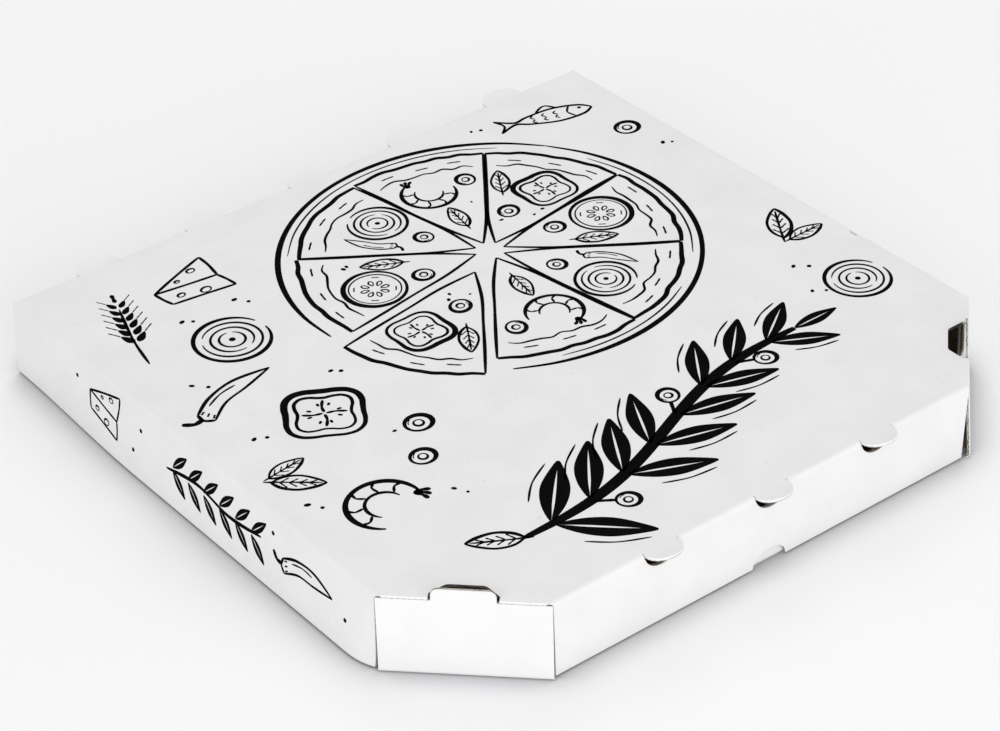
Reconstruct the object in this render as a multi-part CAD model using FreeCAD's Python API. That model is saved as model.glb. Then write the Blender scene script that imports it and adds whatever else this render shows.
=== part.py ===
import FreeCAD, Part
import math
import os
from FreeCAD import Placement, Rotation, Vector

# Pizza box with cut front corners, folded from one sheet of white micro-flute board.
# Millimetres. The origin is on the floor under the middle of the box, +Z is up, the front is -Y
# and the lid hangs on the back wall at +Y.

# Closed box, over its walls, and the board that it is folded from
width = 350.0
depth = 350.0
height = 40.0
board = 1.5
corner_leg = 53.4
fold_radius = 1.2

# Clearances between plies that lie against each other, and at cut ends
ply_clearance = 0.3
corner_slit = 0.9
floor_clearance = 1.0

# Half-moon tabs that stay in the lid's plane at its front and back folds
moon_reach = 8.5
moon_pitch = 63.0
front_moon_count = 3
front_moon_width = 20.5
back_moon_count = 5
back_moon_width = 23.0
moon_side_kerf = 0.4
moon_tip_kerf = 0.6
vent_margin = 2.6

# Corner walls: each has a tab that stands up through a notch in the lid
corner_tab_width = 28.0
corner_tab_rise = 5.0
corner_tab_radius = 3.3
corner_notch_width = 30.4
corner_notch_far_width = 17.0
corner_notch_throat = 3.0
corner_notch_depth = 11.3
corner_notch_radius = 2.0

# Flaps of the lid, which hang outside the walls
flap_end_gap = 1.2
front_flap_slant = 1.3
side_flap_slant = 1.8
side_flap_foot_radius = 8.5
finger_notch_width = 19.5
finger_notch_height = 7.5
crease_hole_radius = 0.7
crease_hole_inset = 1.6
crease_slit_length = 5.0
crease_slit_width = 0.8
crease_slit_setback = 45.0

# Walls that roll over to a second, inner ply and lock into slots in the floor
roll_radius = 0.7
roll_setback = 5.0
lock_width = 32.0
lock_count = 2
lock_clearance = 0.3
dust_flap_length = 46.0
dust_flap_drop = 2.0
dust_flap_taper = 8.0

# Ink of the print on the lid and on the left flap
ink = 0.1
ink_gap = 0.3
fine_width = 1.2
bold_width = 2.4
small_sides = 12
ring_sides = 20
rim_sides = 72

# Round print: a plate with a flatbread in slices, and a topping, an olive and a leaf on each
dish_x = 28.0
dish_setback = 115.0
plate_radius = 104.0
crust_radius = 93.0
slice_count = 8
slice_turn = 9.0
slice_start_radius = 7.0
slice_end_radius = 90.0
topping_radius = 14.5
topping_orbit = 62.0
topping_shift = 5.0
olive_radius = 5.2
olive_width = 2.2
olive_orbit = 36.0
leaf_length = 21.0
leaf_width = 9.0
leaf_orbit = 52.0
leaf_shift = 14.0
leaf_lean = 20.0
leaf_sides = 5
leaf_taper = 1.2

# Heavy print along the front: a branch with pairs of leaves and a few fruits
branch_x = -4.0
branch_setback = 65.0
branch_span = 196.0
branch_rise = 22.0
branch_swell = 7.0
stem_width = 6.0
branch_taper = 0.5
branch_steps = 24
branch_pairs = 8
branch_lead = 0.6
branch_leaf_length = 42.0
branch_leaf_width = 14.0
branch_leaf_shrink = 0.24
branch_lean = 50.0
branch_lean_loss = 12.0
fruit_step = 5
fruit_radius = 5.0
fruit_stalk = 8.0

# Loose motifs: columns in from the left or the right edge, and rows counted from the back edge
left_column = 20.0
inner_column = 62.0
right_column = 29.0
row_pitch = 12.0
fish_row = 2
cheese_row = 4
wheat_row = 7
onion_row = 8
chilli_row = 12
pepper_row = 15
leaf_row = 17
prawn_row = 20
right_onion_row = 21
motif_radius = 18.0
motif_length = 46.0
inner_ring_share = 0.7
rib_start_share = 0.12
rib_end_share = 0.55
rib_count = 4
wheat_turn = 78.0
chilli_turn = 28.0
fish_turn = -16.0
leaf_turn = 31.0
prawn_start_angle = 31.0
prawn_back_sweep = 220.0
prawn_belly_sweep = 200.0

# Print on the left flap: a sprig between two motifs
side_sprig_length = 72.0
side_leaf_length = 14.0
side_leaf_width = 5.0
side_leaf_pairs = 6
side_motif_offset = 72.0
side_motif_length = 30.0

# Worked out from the sizes above
half_width = width / 2
half_depth = depth / 2
lid_under = height - board
wall_top = lid_under - ply_clearance
hinge_z = lid_under - ply_clearance / 2
side_face = half_width - board - ply_clearance
front_face = half_depth - board - ply_clearance
corner_line = half_width + half_depth - corner_leg
corner_length = corner_leg * math.sqrt(2)
side_ply_gap = board + 2 * ply_clearance
front_ply_gap = ply_clearance
overshoot = 1.0
touch = 1e-6
dish_y = half_depth - dish_setback
branch_y = -half_depth + branch_setback

UP = Vector(0, 0, 1)


def block(x0, x1, y0, y1, z0, z1):
    """A box between two corners."""
    return Part.makeBox(x1 - x0, y1 - y0, z1 - z0, Vector(x0, y0, z0))


def prism(points, z0, z1):
    """An upright prism over a closed outline of (x, y) points."""
    wire = Part.makePolygon([Vector(x, y, z0) for x, y in points + points[:1]])
    return Part.Face(wire).extrude(Vector(0, 0, z1 - z0))


def turned(shape, angle, x=0.0, y=0.0, z=0.0):
    """The shape turned about +Z at the origin, then moved."""
    out = shape.copy()
    out.Placement = Placement(Vector(x, y, z), Rotation(UP, angle)).multiply(out.Placement)
    return out


def mirrored_pair(shape):
    """The shape and its mirror image across the box's middle plane."""
    return [shape, shape.mirror(Vector(0, 0, 0), Vector(1, 0, 0))]


def spread(count, pitch):
    """Places along a wall, evenly spaced about its middle."""
    return [(i - (count - 1) / 2) * pitch for i in range(count)]


def fused(shapes):
    """One clean solid from shapes that touch."""
    body = shapes[0].fuse(shapes[1:]) if len(shapes) > 1 else shapes[0]
    return body.removeSplitter()


def export(shape, name):
    """Write one sub-part and say how many solids it has."""
    shape.exportStep("parts/" + name + ".step")
    print(name, len(shape.Solids), round(shape.Volume, 1), shape.isValid())


def half_moon(width_over, reach, z0, z1):
    """A half ellipse in plan, flat side on the X axis and its nose towards +Y, as a prism."""
    half = width_over / 2
    turn = Rotation(UP, 0 if half >= reach else 90)
    curve = Part.Ellipse(Vector(0, 0, 0), max(half, reach), min(half, reach))
    edge = curve.toShape()
    edge.Placement = Placement(Vector(0, 0, z0), turn)
    solid = Part.Face(Part.Wire([edge])).extrude(Vector(0, 0, z1 - z0))
    return solid.common(block(-half - overshoot, half + overshoot, -overshoot, reach + overshoot, z0, z1))


def upright_moon(width_over, reach, x, z, y0, y1, upwards):
    """The half-moon stood up in a wall that faces +-Y, nose up or down from height z."""
    flat = half_moon(width_over, reach, 0, y1 - y0)
    quarter = 90 if upwards else -90
    flat.Placement = Placement(Vector(x, y1 if upwards else y0, z), Rotation(Vector(1, 0, 0), quarter))
    return flat


def rounded_outer_foot(plate, face_y):
    """Round the fold at a wall's foot, along the bottom edge of its outer face (y = face_y)."""
    feet = []
    for edge in plate.Edges:
        ends = [v.Point for v in edge.Vertexes]
        if all(abs(p.z) < touch and abs(p.y - face_y) < touch for p in ends):
            feet.append(edge)
    return plate.makeFillet(fold_radius, feet)


def wall_plate(length, top):
    """A single wall, outer face on y = 0, facing -Y, standing on z = 0 and centred on x = 0."""
    return rounded_outer_foot(block(-length / 2, length / 2, 0, board, 0, top), 0)


def rolled_wall(outer0, outer1, inner0, inner1, ply_gap):
    """A wall that rolls over to an inner ply. Its outer face is on y = 0, facing -Y."""
    thick = 2 * board + ply_gap
    outer = rounded_outer_foot(block(outer0, outer1, 0, board, 0, wall_top), 0)
    cap = block(inner0, inner1, 0, thick, wall_top - board, wall_top)
    inner = block(inner0, inner1, thick - board, thick, board + ply_clearance, wall_top)
    roll = outer.fuse([cap, inner]).removeSplitter()
    rims = []
    for edge in roll.Edges:
        ends = [v.Point for v in edge.Vertexes]
        level = all(abs(p.z - wall_top) < touch for p in ends)
        along = abs(ends[0].y - ends[-1].y) < touch and abs(ends[0].x - ends[-1].x) > board
        on_face = min(abs(ends[0].y), abs(ends[0].y - thick)) < touch
        if level and along and on_face and min(p.x for p in ends) > inner0 - touch and max(
                p.x for p in ends) < inner1 + touch:
            rims.append(edge)
    roll = roll.makeFillet(roll_radius, rims)
    pitch = (inner1 - inner0) / lock_count
    middle = (inner0 + inner1) / 2
    for place in spread(lock_count, pitch):
        x = middle + place
        lock = block(x - lock_width / 2, x + lock_width / 2, thick - board, thick,
                     lock_clearance, board + ply_clearance)
        roll = roll.fuse(lock)
    return roll.removeSplitter()


def lock_slots(inner0, inner1, ply_gap):
    """The floor slots that a rolled wall's lock tabs stand in."""
    thick = 2 * board + ply_gap
    pitch = (inner1 - inner0) / lock_count
    middle = (inner0 + inner1) / 2
    slots = []
    for place in spread(lock_count, pitch):
        x = middle + place
        reach = lock_width / 2 + lock_clearance
        slots.append(block(x - reach, x + reach, thick - board - lock_clearance,
                           thick + lock_clearance, -overshoot, board + overshoot))
    return slots


def corner_wall():
    """A front corner's wall with its rounded tab, outer face on y = 0 and centred on x = 0."""
    plate = wall_plate(corner_length - ply_clearance, wall_top)
    half = corner_tab_width / 2
    tab = block(-half, half, 0, board, wall_top - board, height + corner_tab_rise)
    tips = []
    for edge in tab.Edges:
        ends = [v.Point for v in edge.Vertexes]
        if all(p.z > height for p in ends) and abs(ends[0].x - ends[1].x) < touch and abs(
                ends[0].y - ends[1].y) > board / 2:
            tips.append(edge)
    return fused([plate, tab.makeFillet(corner_tab_radius, tips)])


def corner_middle(sign):
    """The middle of a front corner's outer edge; sign -1 is the left one."""
    inset = corner_leg / 2
    return sign * (half_width - inset), -(half_depth - inset)


def floor_outline():
    """The floor's outline inside the walls' folds."""
    x = side_face - board
    front = front_face - board
    back = half_depth - board
    cut = corner_line - board * math.sqrt(2)
    right = [(cut - front, -front), (x, -(cut - x)), (x, back)]
    return right + [(-px, py) for px, py in reversed(right)]


def side_span():
    """Where a side wall's outer ply runs, from the front corner's slit to the back (as y values)."""
    front_end = -(half_depth - corner_leg) + board + corner_slit
    return front_end, half_depth


def side_wall():
    """The left wall, rolled over the back wall's dust flap."""
    front_end, back_end = side_span()
    inner_front = front_end + roll_setback
    inner_back = half_depth - board - ply_clearance - corner_slit
    wall = rolled_wall(-back_end, -front_end, -inner_back, -inner_front, side_ply_gap)
    slots = lock_slots(-inner_back, -inner_front, side_ply_gap)
    place = [turned(s, -90, -side_face) for s in [wall] + slots]
    return place[0], place[1:]


def front_wall():
    """The front wall, rolled over, with a scoop behind each front vent."""
    half = half_width - corner_leg - board - corner_slit
    inner = half - roll_setback
    wall = rolled_wall(-half, half, -inner, inner, front_ply_gap)
    slots = lock_slots(-inner, inner, front_ply_gap)
    for x in spread(front_moon_count, moon_pitch):
        wall = wall.cut(upright_moon(front_moon_width + 2 * vent_margin, moon_reach + vent_margin,
                                     x, height, -overshoot, 2 * board + front_ply_gap + overshoot, False))
    return [turned(s, 0, 0, -front_face) for s in [wall] + slots]


def back_wall():
    """The back wall with its five scoops, and the dust flaps folded forward from its ends."""
    fold_x = side_face - board - ply_clearance
    wall = wall_plate(2 * fold_x, wall_top)
    wall = turned(wall, 180, 0, half_depth)
    flap_top = wall_top - dust_flap_drop
    outline = [(0, board + ply_clearance), (0, flap_top), (dust_flap_length, flap_top - dust_flap_taper),
               (dust_flap_length, board + ply_clearance + dust_flap_taper / 2)]
    wire = Part.makePolygon([Vector(-fold_x, half_depth - s, z) for s, z in outline + outline[:1]])
    flap = Part.Face(wire).extrude(Vector(board, 0, 0))
    body = fused([wall] + mirrored_pair(flap))
    inner = half_depth - board - overshoot
    for x in spread(back_moon_count, moon_pitch):
        body = body.cut(upright_moon(back_moon_width + 2 * moon_side_kerf, moon_reach + moon_tip_kerf,
                                     x, hinge_z, inner, half_depth + overshoot, False))
    return body


def base_tray():
    """The floor and its six walls, one folded sheet."""
    floor = prism(floor_outline(), 0, board)
    left, left_slots = side_wall()
    front_parts = front_wall()
    slots = left_slots + [s.mirror(Vector(0, 0, 0), Vector(1, 0, 0)) for s in left_slots] + front_parts[1:]
    floor = floor.cut(slots)
    corners = []
    for sign in (-1, 1):
        x, y = corner_middle(sign)
        corners.append(turned(corner_wall(), sign * 45, x, y))
    return fused([floor] + mirrored_pair(left) + [front_parts[0], back_wall()] + corners)


def lid_outline():
    """The lid's outline: a rectangle with its two front corners cut off."""
    leg = corner_leg
    right = [(half_width - leg, -half_depth), (half_width, -half_depth + leg), (half_width, half_depth)]
    return right + [(-x, y) for x, y in reversed(right)]


def corner_notch():
    """The notch behind a corner wall's tab: it opens over the edge at y = 0 and narrows inwards."""
    half = corner_notch_width / 2
    far = corner_notch_far_width / 2
    right = [(half, -overshoot), (half, corner_notch_throat), (far, corner_notch_depth)]
    cutter = prism(right + [(-x, y) for x, y in reversed(right)], lid_under - overshoot, height + overshoot)
    ends = []
    for edge in cutter.Edges:
        points = [v.Point for v in edge.Vertexes]
        if all(p.y > corner_notch_depth - touch for p in points) and abs(points[0].z - points[1].z) > board:
            ends.append(edge)
    return cutter.makeFillet(corner_notch_radius, ends)


def lid():
    """The lid's panel with its half-moon tabs, corner notches and the small holes at its folds' ends."""
    panel = prism(lid_outline(), lid_under, height)
    tabs = []
    for x in spread(front_moon_count, moon_pitch):
        tabs.append(turned(half_moon(front_moon_width, moon_reach, lid_under, height), 180, x, -half_depth))
    for x in spread(back_moon_count, moon_pitch):
        tabs.append(turned(half_moon(back_moon_width, moon_reach, lid_under, height), 0, x, half_depth))
    panel = fused([panel] + tabs)
    cutters = []
    for sign in (-1, 1):
        x, y = corner_middle(sign)
        cutters.append(turned(corner_notch(), sign * 45, x, y))
        for fold_x, fold_y in ((half_width - corner_leg, half_depth), (half_width, half_depth - corner_leg)):
            centre = Vector(sign * (fold_x - crease_hole_inset), -(fold_y - crease_hole_inset),
                            lid_under - overshoot)
            cutters.append(Part.makeCylinder(crease_hole_radius, board + 2 * overshoot, centre))
    slit_y = -crease_slit_setback
    slit_x = half_width - 2 * board
    cutters.append(block(slit_x, slit_x + crease_slit_width, slit_y - crease_slit_length / 2,
                         slit_y + crease_slit_length / 2, lid_under - overshoot, height + overshoot))
    return panel.cut(cutters).removeSplitter()


def flap_blank(top0, top1, bottom0, bottom1):
    """A hanging flap's plate, outer face on y = 0 facing -Y, with slanted ends."""
    points = [(bottom0, floor_clearance), (bottom1, floor_clearance), (top1, wall_top), (top0, wall_top)]
    wire = Part.makePolygon([Vector(x, 0, z) for x, z in points + points[:1]])
    return Part.Face(wire).extrude(Vector(0, board, 0))


def front_flap():
    """The lid's front flap, with three vents under the half-moon tabs and a finger notch."""
    top = half_width - corner_leg - flap_end_gap
    bottom = top - front_flap_slant
    flap = flap_blank(-top, top, -bottom, bottom)
    for x in spread(front_moon_count, moon_pitch):
        flap = flap.cut(upright_moon(front_moon_width + 2 * moon_side_kerf, moon_reach + moon_tip_kerf,
                                     x, height, -overshoot, board + overshoot, False))
    flap = flap.cut(upright_moon(finger_notch_width, finger_notch_height, 0, floor_clearance,
                                 -overshoot, board + overshoot, True))
    return turned(flap, 0, 0, -half_depth)


def left_flap():
    """The lid's left flap: square at the back, slanted and with a rounded foot at the cut corner."""
    back = half_depth - ply_clearance
    front_top = -(half_depth - corner_leg - flap_end_gap)
    front_bottom = front_top + side_flap_slant
    flap = flap_blank(-back, -front_top, -back, -front_bottom)
    feet = []
    for edge in flap.Edges:
        ends = [v.Point for v in edge.Vertexes]
        if all(p.z < floor_clearance + touch and p.x > 0 for p in ends):
            feet.append(edge)
    return turned(flap.makeFillet(side_flap_foot_radius, feet), -90, -half_width)


def polar(x, y, radius, angle):
    """A point at a radius and an angle in degrees from (x, y)."""
    return x + radius * math.cos(math.radians(angle)), y + radius * math.sin(math.radians(angle))


def blot(points):
    """A patch of ink inside a closed outline of (x, y) points."""
    return prism(points, 0, ink)


def disc(radius, sides=small_sides):
    """A round ink spot about the origin."""
    return blot([polar(0, 0, radius, 360.0 * i / sides) for i in range(sides)])


def ring(radius, line, sides=ring_sides):
    """A round ink line of the given mean radius about the origin."""
    return disc(radius + line / 2, sides).cut(disc(radius - line / 2, sides))


def arc_band(radius, line, start, sweep):
    """Part of a round ink line about the origin, from the start angle through the sweep."""
    angles = [start + sweep * i / small_sides for i in range(small_sides + 1)]
    outer = [polar(0, 0, radius + line / 2, angle) for angle in angles]
    inner = [polar(0, 0, radius - line / 2, angle) for angle in angles]
    return blot(outer + inner[::-1])


def stroke(x0, y0, x1, y1, line):
    """A straight ink line."""
    length = math.hypot(x1 - x0, y1 - y0)
    bar = block(0, length, -line / 2, line / 2, 0, ink)
    return turned(bar, math.degrees(math.atan2(y1 - y0, x1 - x0)), x0, y0)


def rib(angle, radius):
    """A straight ink line inside a ring, out from near its middle."""
    start = polar(0, 0, rib_start_share * radius, angle)
    return stroke(*start, *polar(0, 0, rib_end_share * radius, angle), fine_width)


def leaf(x, y, length, across, angle):
    """A pointed leaf, its stalk end at (x, y), lying along the angle."""
    upper = []
    for i in range(1, leaf_sides):
        share = i / leaf_sides
        upper.append((share * length, across / 2 * math.sin(math.pi * share ** leaf_taper)))
    lower = [(px, -py) for px, py in upper]
    return turned(blot([(0, 0)] + lower + [(length, 0)] + upper[::-1]), angle, x, y)


def placed(marks, x, y, angle=0.0):
    """Marks turned about their origin, then moved."""
    return [turned(m, angle, x, y) for m in marks]


def pepper(radius):
    """A slice of sweet pepper: two rings and ribs."""
    ribs = [rib(360.0 * i / rib_count, radius) for i in range(rib_count)]
    return [ring(radius, bold_width), ring(inner_ring_share * radius, fine_width)] + ribs


def onion(radius):
    """A slice of onion: rings inside each other."""
    inner = inner_ring_share * radius
    heart = inner_ring_share * inner
    return [ring(radius, bold_width), ring(inner, fine_width), ring(heart, fine_width), disc(fine_width)]


def courgette(radius):
    """A slice of courgette: a ring with seeds lying round its middle."""
    seed = rib_end_share * radius
    marks = [ring(radius, bold_width)]
    for i in range(rib_count):
        angle = 360.0 * i / rib_count
        marks.append(leaf(*polar(0, 0, rib_start_share * radius, angle), seed, seed / rib_count, angle))
    return marks


def prawn(radius):
    """A curled prawn: two open rings, and the joints of its shell between them."""
    inner = radius * rib_end_share
    joints = []
    for i in range(rib_count):
        angle = 180.0 * i / rib_count + prawn_start_angle
        start = polar(0, 0, inner + fine_width, angle)
        joints.append(stroke(*start, *polar(0, 0, radius - bold_width, angle), fine_width))
    back = arc_band(radius, bold_width, 0, prawn_back_sweep)
    return [back, arc_band(inner, fine_width, 0, prawn_belly_sweep)] + joints


def olive(radius):
    """A stoned olive: one bold ring."""
    return [ring(radius, olive_width, small_sides)]


def cheese(size):
    """A wedge of cheese: a triangle drawn in line, with a hole in it."""
    corners = [(0, 0), (size, -size / 2), (size, size / 4)]
    middle_x = sum(p[0] for p in corners) / len(corners)
    middle_y = sum(p[1] for p in corners) / len(corners)
    keep = 1 - bold_width * math.pi / size
    inner = [(middle_x + keep * (px - middle_x), middle_y + keep * (py - middle_y)) for px, py in corners]
    hole = turned(ring(size / small_sides, fine_width, small_sides), 0, middle_x, middle_y)
    return [blot(corners).cut(blot(inner)), hole]


def chilli(length):
    """A chilli with its stalk."""
    stalk = stroke(-length / rib_count, 0, -ink_gap, 0, bold_width)
    return [leaf(0, 0, length, length / rib_count, 0), stalk]


def fish(length):
    """A small fish with its tail."""
    marks = [leaf(0, 0, length, length / rib_count, 0)]
    tip = -length / rib_count
    for side in (-1, 1):
        marks.append(stroke(tip, side * bold_width * 2, -bold_width, side * bold_width, fine_width))
    return marks


def sprig(length, pairs, blade, across):
    """A straight stalk from the origin along +X, with pairs of leaves."""
    marks = [stroke(0, 0, length, 0, fine_width)]
    foot = fine_width / 2 + ink_gap
    for i in range(pairs):
        along = length * (i + 0.5) / pairs
        for side in (-1, 1):
            marks.append(leaf(along, side * foot, blade, across, side * branch_lean))
    return marks


def dish_print():
    """The round dish, cut in slices, with a topping, an olive and a leaf on each slice."""
    rims = [ring(plate_radius, bold_width, rim_sides), ring(crust_radius, fine_width, rim_sides)]
    marks = placed(rims, dish_x, dish_y)
    step = 360.0 / slice_count
    toppings = (pepper, prawn, onion, courgette)
    for i in range(slice_count):
        cut = slice_turn + i * step
        middle = cut + step / 2
        marks.append(stroke(*polar(dish_x, dish_y, slice_start_radius, cut),
                            *polar(dish_x, dish_y, slice_end_radius, cut), fine_width))
        marks += placed(toppings[i % len(toppings)](topping_radius),
                        *polar(dish_x, dish_y, topping_orbit, middle - topping_shift), middle)
        marks += placed(olive(olive_radius), *polar(dish_x, dish_y, olive_orbit, middle))
        marks.append(leaf(*polar(dish_x, dish_y, leaf_orbit, middle + leaf_shift), leaf_length, leaf_width,
                          middle + leaf_lean))
    return marks


def stem_point(share):
    """A point on the branch's stem and the stem's direction there; share runs from -1 to 1."""
    x = share * branch_span / 2
    y = branch_rise * share + branch_swell * math.sin(math.pi * share)
    slope = (branch_rise + branch_swell * math.pi * math.cos(math.pi * share)) / (branch_span / 2)
    return branch_x + x, branch_y + y, math.degrees(math.atan(slope))


def stem():
    """The branch's stem, which thins towards both ends."""
    edges = []
    for side in (-1, 1):
        edge = []
        for i in range(branch_steps + 1):
            share = -1 + 2 * i / branch_steps
            x, y, heading = stem_point(share)
            edge.append(polar(x, y, stem_width / 2 * (1 - branch_taper * abs(share)), heading + side * 90))
        edges.append(edge)
    return blot(edges[0] + edges[1][::-1])


def branch_print():
    """The heavy branch: leaves on both sides of the stem, and a fruit in place of a few of them."""
    marks = [stem()]
    for i in range(branch_pairs):
        x, y, heading = stem_point(-1 + 2 * (i + branch_lead) / (branch_pairs + 1 - branch_lead))
        grown = i / (branch_pairs - 1)
        size = 1 - branch_leaf_shrink * grown
        for side in (-1, 1):
            start = polar(x, y, stem_width / 2 + ink_gap, heading + side * 90)
            angle = heading + side * (branch_lean - branch_lean_loss * grown)
            if (i + side) % fruit_step == 0:
                marks += placed([ring(fruit_radius, bold_width)], *polar(*start, fruit_stalk, angle))
            else:
                marks.append(leaf(*start, size * branch_leaf_length, size * branch_leaf_width, angle))
    return marks


def spot(column, row, side=-1):
    """A loose motif's place: in from the left edge (side -1) or the right one, in rows from the back."""
    return side * (half_width - column), half_depth - row * row_pitch


def motif_print():
    """The loose motifs, down the left side and in the right corners."""
    wheat = sprig(motif_length, side_leaf_pairs, side_leaf_length, side_leaf_width)
    marks = placed(cheese(2 * motif_radius), *spot(inner_column, cheese_row))
    marks += placed(wheat, *spot(left_column, wheat_row), wheat_turn)
    marks += placed(onion(motif_radius), *spot(inner_column, onion_row))
    marks += placed(chilli(motif_length), *spot(left_column, chilli_row), chilli_turn)
    marks += placed(pepper(motif_radius), *spot(inner_column, pepper_row))
    marks += placed(prawn(motif_radius), *spot(inner_column - motif_radius, prawn_row))
    marks += placed(fish(motif_length), *spot(right_column + 2 * motif_radius, fish_row, 1), fish_turn)
    marks += placed(onion(topping_radius), *spot(right_column, right_onion_row, 1))
    for column, edge in ((left_column, -1), (right_column, 1)):
        for side in (-1, 1):
            start = polar(*spot(column, leaf_row, edge), ink_gap + fine_width, side * leaf_turn)
            marks.append(leaf(*start, leaf_length, leaf_width, side * leaf_turn))
    return marks


def side_print():
    """The left flap's print, drawn flat with x along the flap: a sprig between two motifs."""
    marks = placed(sprig(side_sprig_length, side_leaf_pairs, side_leaf_length, side_leaf_width),
                   -side_sprig_length / 2, 0)
    marks += placed(cheese(side_motif_length), -side_motif_offset - side_motif_length, bold_width)
    marks += placed(chilli(side_motif_length), side_motif_offset - side_motif_length / rib_count, 0)
    return marks


def on_lid(marks):
    """Ink marks laid on the lid's top."""
    return Part.makeCompound([turned(m, 0, 0, 0, height) for m in marks])


def on_left_flap(marks):
    """Ink marks laid on the left flap's outer face, read from outside the box."""
    upright = Placement(Vector(0, 0, 0), Rotation(Vector(1, 0, 0), 90))
    place = Placement(Vector(-half_width, 0, (wall_top + floor_clearance) / 2), Rotation(UP, -90))
    out = []
    for mark in marks:
        shape = mark.copy()
        shape.Placement = place.multiply(upright).multiply(shape.Placement)
        out.append(shape)
    return Part.makeCompound(out)


def main():
    """Build every sub-part and write one file for each."""
    os.makedirs("parts", exist_ok=True)
    left = left_flap()
    right = left.mirror(Vector(0, 0, 0), Vector(1, 0, 0))
    export(base_tray(), "base_tray")
    export(lid(), "lid_panel")
    export(front_flap(), "front_flap")
    export(left, "left_flap")
    export(right, "right_flap")
    export(on_lid(dish_print()), "dish_print")
    export(on_lid(branch_print()), "branch_print")
    export(on_lid(motif_print()), "motif_print")
    export(on_left_flap(side_print()), "side_print")


main()
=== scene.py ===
import logging
import math
import random
from dataclasses import dataclass, field
from enum import Enum
from typing import Callable, Optional, Sequence

import bmesh
import bpy
from mathutils import Matrix, Vector
from mathutils.geometry import tessellate_polygon


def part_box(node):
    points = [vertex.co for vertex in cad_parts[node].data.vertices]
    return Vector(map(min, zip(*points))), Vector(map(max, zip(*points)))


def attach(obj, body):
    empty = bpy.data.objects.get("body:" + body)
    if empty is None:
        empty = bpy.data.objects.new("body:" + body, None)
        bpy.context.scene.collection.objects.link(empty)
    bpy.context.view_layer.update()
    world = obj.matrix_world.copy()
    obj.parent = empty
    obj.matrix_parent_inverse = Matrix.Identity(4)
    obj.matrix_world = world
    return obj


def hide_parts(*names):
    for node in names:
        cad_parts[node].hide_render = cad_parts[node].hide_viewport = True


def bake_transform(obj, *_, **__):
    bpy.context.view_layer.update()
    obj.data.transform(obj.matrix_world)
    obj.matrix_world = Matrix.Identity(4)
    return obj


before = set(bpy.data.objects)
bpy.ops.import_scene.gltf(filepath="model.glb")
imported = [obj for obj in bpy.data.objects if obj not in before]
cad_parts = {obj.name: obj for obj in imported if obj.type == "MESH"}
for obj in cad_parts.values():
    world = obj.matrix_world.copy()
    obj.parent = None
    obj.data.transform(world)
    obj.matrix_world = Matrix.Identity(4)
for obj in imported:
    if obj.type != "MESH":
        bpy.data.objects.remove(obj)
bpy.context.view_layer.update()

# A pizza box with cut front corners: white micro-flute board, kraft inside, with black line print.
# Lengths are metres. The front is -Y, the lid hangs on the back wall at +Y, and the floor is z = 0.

MM = 0.001
UV_NAME = "board"
MIX_FIRST, MIX_SECOND, MIX_RESULT = 6, 7, 2
SHARP_ANGLE = math.radians(30)
FOLD_LAP = math.radians(2)
Point = tuple[float, float]
Colour = tuple[float, float, float, float]
Place = Callable[[float, float, float], Vector]
Flute = Callable[[float, float], float]
log = logging.getLogger("pizza_box")


class Face(Enum):
    """The finish of a face of board, by its material slot."""

    WHITE = 0
    KRAFT = 1
    RAW = 2
    # A cut edge with open flutes, darkened all over with painted shade.
    OPEN = 3


class Value:
    """A number inside a shader. Arithmetic on it adds Math nodes."""

    def __init__(self, shader: "Shader", socket: bpy.types.NodeSocket) -> None:
        """Wrap one output socket of a shader."""
        self.shader = shader
        self.socket = socket

    def _math(self, operation: str, first: "Value | float",
              second: "Value | float | None" = None) -> "Value":
        """Add one Math node.

        Args:
            operation: The Math node's operation.
            first: Its first input.
            second: Its second input, if it has one.

        Returns:
            The node's result.
        """
        values = {0: first} if second is None else {0: first, 1: second}
        made = self.shader.node("ShaderNodeMath", {"operation": operation}, values)
        return Value(self.shader, made.outputs[0])

    def __add__(self, other: "Value | float") -> "Value":
        """Sum."""
        return self._math("ADD", self, other)

    def __sub__(self, other: "Value | float") -> "Value":
        """Difference."""
        return self._math("SUBTRACT", self, other)

    def __mul__(self, other: "Value | float") -> "Value":
        """Product."""
        return self._math("MULTIPLY", self, other)

    def __abs__(self) -> "Value":
        """Size without sign."""
        return self._math("ABSOLUTE", self)

    def sine(self) -> "Value":
        """Sine of an angle in radians."""
        return self._math("SINE", self)

    def most(self, other: "Value | float") -> "Value":
        """The larger of two."""
        return self._math("MAXIMUM", self, other)


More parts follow.
